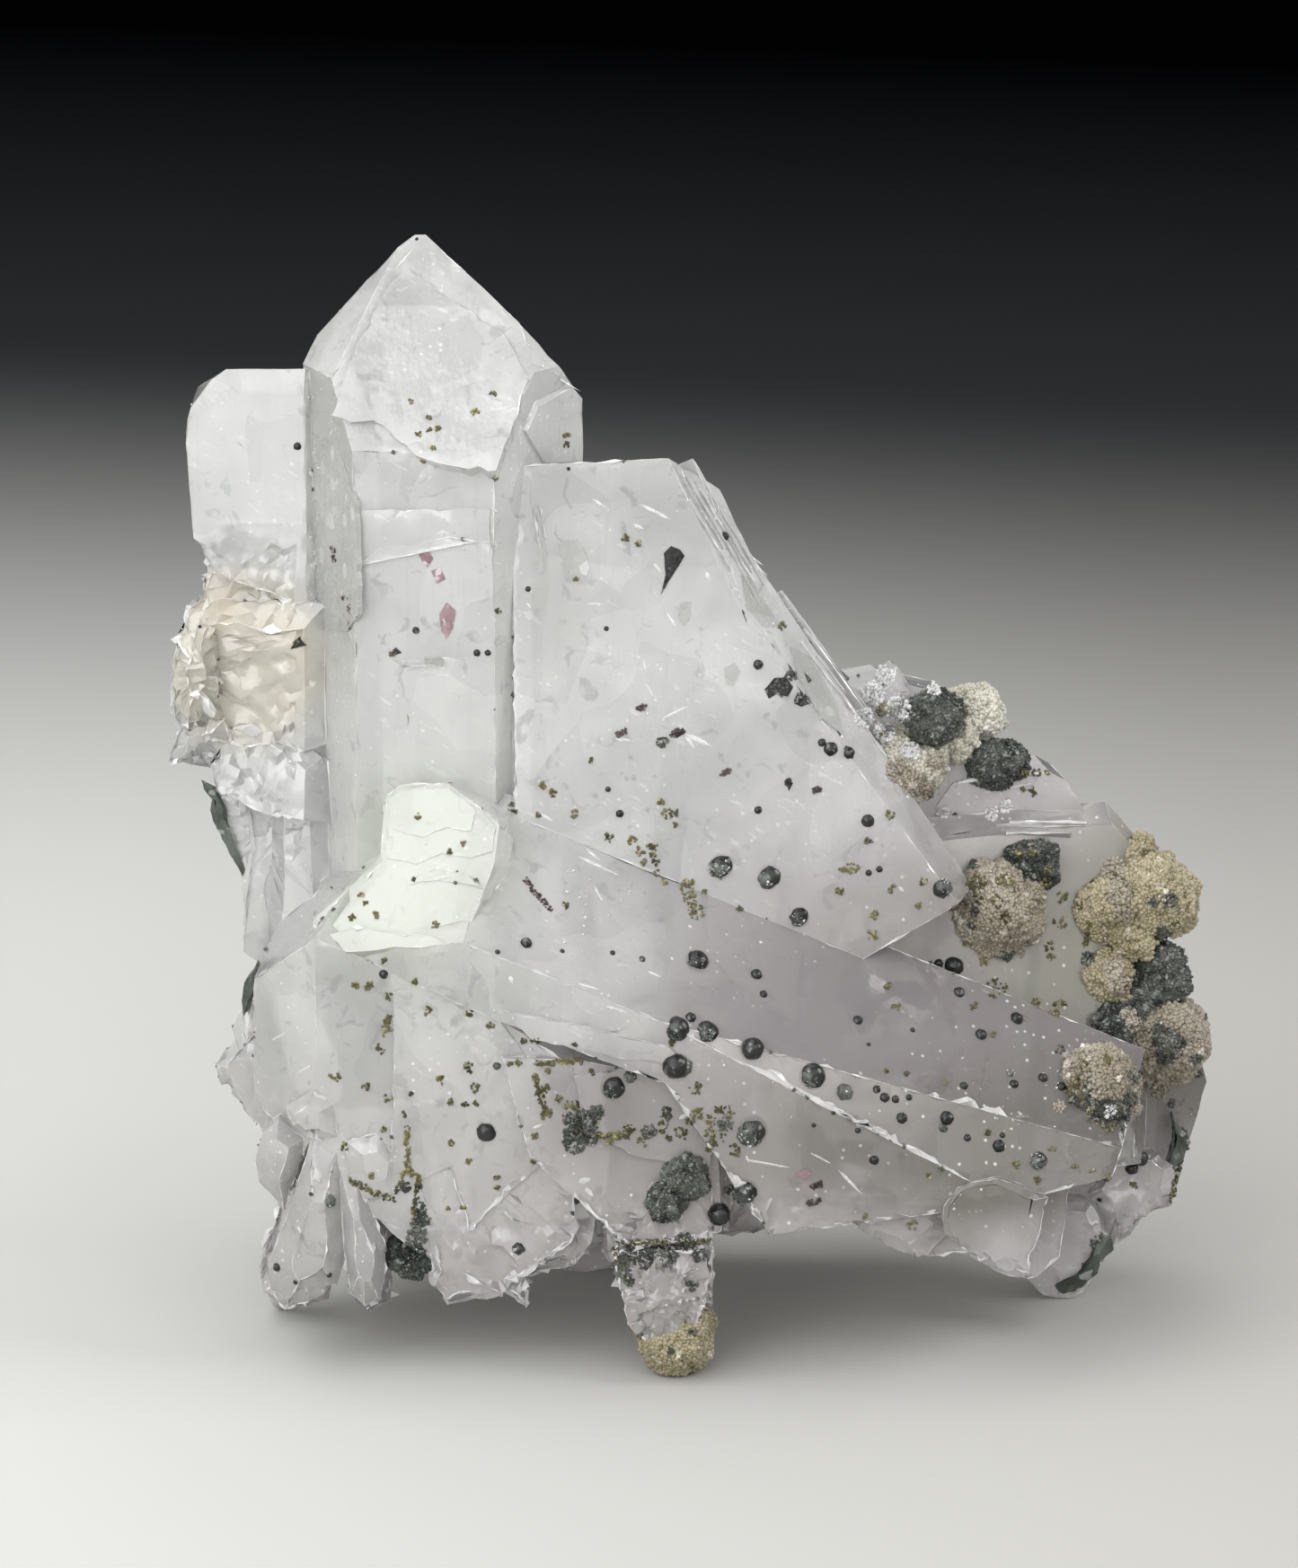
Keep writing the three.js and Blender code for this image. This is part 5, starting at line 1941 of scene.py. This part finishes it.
@dataclass
class Balls:
    """The tan and dark balls, each a lumpy core under a crust of small crystals."""

    grains: ScatterTree
    quartz: BVHTree
    seat: float = 0.34
    seat_reach: float = 0.9
    open_side: float = -0.12

    def build(self, node: str, slot: Slot, grain: bpy.types.Object, finish: bpy.types.Material) -> bpy.types.Object:
        """Makes the piece that stands for one ball node.

        Args:
            node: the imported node.
            slot: its material slot.
            grain: the crust's grain.
            finish: the material.

        Returns:
            The finished piece.
        """
        tan = slot is Slot.ANALCIME
        small, large, spacing = (0.13, 0.28, 0.21) if tan else (0.1, 0.22, 0.19)
        form = bmesh.new()
        form.from_mesh(frame["nodes"][node].data)
        bmesh.ops.remove_doubles(form, verts=form.verts, dist=0.002 * MM)
        bmesh.ops.subdivide_edges(form, edges=form.edges, cuts=2, use_grid_fill=True)
        form.normal_update()
        low, high = CAD_BOX
        for vert in form.verts:
            vert.co += vert.normal * (self.swell(vert.co) + self.lumps(vert.co / MM)) * MM
            for axis in range(3):
                edge = large * MM
                vert.co[axis] = min(high[axis] - edge, max(low[axis] + edge, vert.co[axis]))
        core = link_bmesh(f"{node}_crust", form)
        count = len(core.data.vertices)
        for name in ("grow", "cover"):
            layer = core.data.attributes.new(name, "FLOAT", "POINT")
            layer.data.foreach_set("value", [1.0] * count)
        self.grains.grow(core, grain, finish, small, large, spacing, seed=len(node))
        own(core, slot, node)
        return core

    def swell(self, place: Vector) -> float:
        """How far the ball reaches out, in mm: onto the quartz where it sits, and less elsewhere.

        Args:
            place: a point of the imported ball, in metres.

        Returns:
            The distance, in mm.
        """
        gap = self.quartz.find_nearest(place)[3] / MM
        share = max(0.0, 1 - gap / self.seat_reach)
        return self.open_side + (self.seat - self.open_side) * min(1.0, share * 2)

    @staticmethod
    def lumps(place: Vector) -> float:
        """The unevenness of a ball, in mm, at a place in mm."""
        coarse = 0.5 * noise.noise(place * 0.5) + 0.4 * noise.noise(place * 1.3)
        return coarse + 0.3 * noise.noise(place * 2.6)


@dataclass
class Dusting:
    """Every small grain on the quartz and the balls, by kind."""

    sight: Sight
    quartz: bpy.types.Object
    grains: ScatterTree
    finishes: dict[str, bpy.types.Material]

    def hidden_side(self, place: Vector, facing: Vector) -> float:
        """How likely a grain is where the photograph doesn't look.

        Args:
            place: a point on the quartz, in mm.
            facing: the normal there.

        Returns:
            A chance from 0 to 1.
        """
        eye = self.sight.view.place()
        seen = self.sight.trees[0].ray_cast(eye, place * MM - eye)[0]
        if facing.y < -0.15 or (seen and (seen - place * MM).length < MM):
            return 0.0
        patch = noise.noise(place * 0.16)
        return min(1.0, max(0.0, patch * 3.0 - 0.1)) + 0.03

    def finish(self, cloud: GrainPoints, name: str, kind: str, grain: bpy.types.Object, slot: Slot) -> None:
        """Turns a cloud into its piece.

        Args:
            cloud: the grains' places.
            name: the piece's name.
            kind: the finish's name.
            grain: the shape of one grain, which is deleted.
            slot: the material slot.
        """
        piece = cloud.build(name)
        self.grains.grow(piece, grain, self.finishes[kind], 0.85, 1.15, seed=len(name))
        drop(grain)
        own(piece, slot)

    def spherules(self) -> None:
        """Black round spherules, half sunk in the quartz."""
        cloud = GrainPoints(5)
        for u, v, radius in BLACK_SPHERULES:
            cloud.ball(self.sight, u, v, radius, sunk=0.25)
        for u, v, radius in GREY_BALLS:
            if radius > 11:
                cloud.ball(self.sight, u + radius * 0.18, v - radius * 0.2, radius * 0.95, sunk=0.5)
        cloud.all_round(self.quartz, 260, 0.3, lambda place, facing: self.hidden_side(place, facing) * 0.7)
        lump = CrystalGrains.lump(4, 3, 0.12)
        self.finish(cloud, "black_spherules", "spherule", lump, Slot.CHLORITE)

    def grey_balls(self) -> None:
        """Grey balls of fine grains."""
        cores = GrainPoints(6)
        crust = GrainPoints(7)
        for u, v, radius in GREY_BALLS:
            cores.ball(self.sight, u, v, radius * 0.8, sunk=0.3)
            size = radius * 0.82 * self.sight.view.mm_per_px
            crust.shell(cores.places[-1], size, int(190 * size * size), 0.08)
        lump = CrystalGrains.lump(5, 3, 0.3)
        self.finish(cores, "grey_ball_cores", "chlorite", lump, Slot.CHLORITE)
        self.finish(crust, "grey_ball_grains", "silver", CrystalGrains.octahedron(), Slot.CHLORITE)

    def olive(self) -> None:
        """Olive grains in heaps and along cracks."""
        cloud = GrainPoints(8)
        for u, v, reach in OLIVE_HEAPS:
            cloud.dust(self.sight, u, v, reach * 0.85, int(3 + reach * 1.6), 0.14)
        for (u, v), (to_u, to_v) in OLIVE_CHAINS:
            count = int(math.hypot(to_u - u, to_v - v) / 3.5) + 1
            for step in range(count + 1):
                share = step / count
                cloud.dust(self.sight, u + (to_u - u) * share, v + (to_v - v) * share, 3.5, 4, 0.14)
        cloud.all_round(self.quartz, 4200, 0.15, self.hidden_side)
        self.finish(cloud, "olive_grains", "olive", CrystalGrains.octahedron(), Slot.CHLORITE)

    def dark(self) -> None:
        """Heaps of dark green grains."""
        cloud = GrainPoints(9)
        for u, v, reach in DARK_HEAPS:
            cloud.dust(self.sight, u, v, reach, int(reach * reach * 0.5) + 6, 0.16)
        cloud.all_round(self.quartz, 5200, 0.17, lambda place, facing: self.hidden_side(place + Vector((40, 0, 9)), facing))
        self.finish(cloud, "dark_green_grains", "chlorite", CrystalGrains.octahedron(), Slot.CHLORITE)

    def sparkles(self) -> None:
        """Small white crystals, in sprinklings and here and there."""
        cloud = GrainPoints(12)
        for u, v, reach in SPARKLES:
            cloud.dust(self.sight, u, v, reach, int(reach * 0.3), 0.06)
            cloud.dust(self.sight, u, v, reach, int(reach * 0.15), 0.11)
        for u, v, reach in WHITE_CRUSTS:
            cloud.dust(self.sight, u, v, reach, int(reach * reach * 0.8), 0.15)
        cloud.all_round(self.quartz, 500, 0.06, lambda place, facing: 1.0)
        self.finish(cloud, "white_sparkles", "white", CrystalGrains.dodecahedron(), Slot.QUARTZ)

    def sugar(self) -> None:
        """Pale sugar beside the tan balls."""
        cloud = GrainPoints(13)
        for u, v, reach in SUGAR_HEAPS:
            cloud.dust(self.sight, u, v, reach, int(reach * reach * 0.7), 0.15)
        self.finish(cloud, "pale_sugar", "rosy", CrystalGrains.dodecahedron(), Slot.ANALCIME)

    def red(self) -> None:
        """Reddish flecks."""
        cloud = GrainPoints(10)
        for (u, v), (to_u, to_v) in RED_FLECKS:
            for step in range(9):
                share = step / 8
                cloud.dust(self.sight, u + (to_u - u) * share, v + (to_v - v) * share, 3.2, 4, 0.12)
        self.finish(cloud, "red_flecks", "brown", CrystalGrains.octahedron(), Slot.CHLORITE)

    def build(self) -> None:
        """Makes every kind."""
        self.spherules()
        self.grey_balls()
        self.olive()
        self.dark()
        self.sparkles()
        self.sugar()
        self.red()


@dataclass
class Studio:
    """The floor that fades into the dark, and the soft lights."""

    pale: tuple = colour(170, 169, 165)
    # painted light: the paler tint of the floor's left part, lit from that side
    lit_left_floor: tuple = colour(190, 190, 187)
    grey: tuple = colour(48, 49, 51)
    dark: tuple = colour(10, 11, 13)
    fade: tuple[float, float, float] = (70.0, 338.0, 620.0)
    side: float = 50.0
    slant: float = 0.25
    air: tuple[float, float] = (0.8, 0.35)

    def floor(self) -> None:
        """A pale floor, painted paler to the left as the light from that side, whose far part is dark."""
        form = bmesh.new()
        bmesh.ops.create_grid(form, x_segments=1, y_segments=1, size=3.0)
        floor = link_bmesh("studio_floor", form)
        material, graph, shader = new_material("pale_floor")
        places = graph.node("ShaderNodeTexCoord").outputs["Object"]
        parts = graph.node("ShaderNodeSeparateXYZ", Vector=places).outputs
        along = graph.math("MULTIPLY_ADD", parts["X"], self.slant, parts["Y"])
        near, middle, far = (edge * MM for edge in self.fade)
        first = graph.node("ShaderNodeMapRange", {"interpolation_type": "SMOOTHSTEP"}, Value=along)
        first.inputs["From Min"].default_value = near
        first.inputs["From Max"].default_value = middle
        # painted light: the floor is paler towards the left, where the light comes from
        left_light_share = graph.ramp(parts["X"], -self.side * MM, self.side * MM, 1.0, 0.0)
        tint = graph.mix(left_light_share, self.pale, self.lit_left_floor)
        tint = graph.mix(first.outputs["Result"], tint, self.grey)
        tint = graph.mix(graph.ramp(along, middle, far), tint, self.dark)
        graph.feed(shader.inputs["Base Color"], tint)
        shader.inputs["Roughness"].default_value = 0.9
        shader.inputs["Specular IOR Level"].default_value = 0.0
        floor.data.materials.append(material)

    def light(self, name: str, place: tuple, size: float, power: float, tint: tuple = (1, 1, 1)) -> None:
        """A soft area light aimed at the middle of the cluster.

        Args:
            name: its name.
            place: where it stands, in mm.
            size: its side, in mm.
            power: its power, in watts.
            tint: its colour.
        """
        data = bpy.data.lights.new(name, "AREA")
        data.size = size * MM
        data.energy = power
        data.color = tint
        lamp = bpy.data.objects.new(name, data)
        lamp.location = Vector(place) * MM
        aim = Vector((0, 0, 35 * MM)) - lamp.location
        lamp.rotation_euler = aim.to_track_quat("-Z", "Y").to_euler()
        bpy.context.scene.collection.objects.link(lamp)

    def build(self) -> None:
        """Makes the floor, the lights and the world."""
        self.floor()
        self.light("softbox_left", (-250, -210, 300), 400, 1.35)
        self.light("softbox_front", (110, -400, 340), 460, 0.95)
        self.light("softbox_top", (-90, 110, 480), 420, 1.15)
        self.light("softbox_low", (-180, -420, 90), 260, 0.8)
        self.light("softbox_right", (400, -60, 280), 260, 1.1)
        world = bpy.data.worlds.new("studio_air")
        world.use_nodes = True
        graph = Graph(world.node_tree)
        way = graph.node("ShaderNodeTexCoord").outputs["Generated"]
        height = graph.node("ShaderNodeSeparateXYZ", Vector=way).outputs["Z"]
        sky = world.node_tree.nodes["Background"]
        sky.inputs["Color"].default_value = (0.85, 0.85, 0.85, 1)
        graph.feed(sky.inputs["Strength"], graph.ramp(height, 0.0, 0.7, *self.air))
        bpy.context.scene.world = world
        bpy.context.scene.view_settings.view_transform = "Standard"


def main() -> None:
    """Builds the cluster and its studio."""
    logging.basicConfig(level=logging.INFO, format="%(name)s: %(message)s")
    noise.seed_set(NOISE_SEED)
    view = PhotoView()
    view.make_camera()
    Studio().build()
    quartz = Quartz()
    own(quartz.build(view), Slot.QUARTZ, QUARTZ_NODE)
    finishes = {name: finish.build() for name, finish in FINISHES.items()}
    sugar = CrystalGrains.dodecahedron()
    flake = CrystalGrains.octahedron()
    balls = Balls(ScatterTree(over_faces=True), Quartz.surface(quartz.piece))
    surfaces = [quartz.piece]
    for row in frame["record"]["subparts"]:
        if row["material_slot"] == Slot.ANALCIME.value:
            tan = finishes[TAN_FINISHES.get(row["node"], "pale")]
            surfaces.append(balls.build(row["node"], Slot.ANALCIME, sugar, tan))
        elif row["material_slot"] == Slot.CHLORITE.value:
            surfaces.append(balls.build(row["node"], Slot.CHLORITE, flake, finishes["chlorite"]))
    drop(sugar)
    drop(flake)
    flakes = Flakes(view, quartz.piece)
    flakes.build("dark_flakes", DARK_FLAKES, finishes["spherule"])
    flakes.build("pink_flakes", PINK_FLAKES, finishes["pink"])
    flakes.build("smoky_windows", GREY_WINDOWS, finishes["smoky"])
    flakes.build_crusts("green_edge_crusts", GREEN_EDGES, finishes["green"])
    Veils(quartz.piece).build(VeilFinish().build())
    sight = Sight(view, surfaces)
    Slivers(sight, quartz.piece).build("bright_slivers", BRIGHT_SLIVERS, finishes["white"])
    # black slivers, painted shade in the slits
    Slivers(sight, quartz.piece, count=0).build("dark_slits", DARK_SLITS, finishes["spherule"])
    Dusting(sight, quartz.piece, ScatterTree(over_faces=False), finishes).build()


if __name__ == "__main__":
    main()
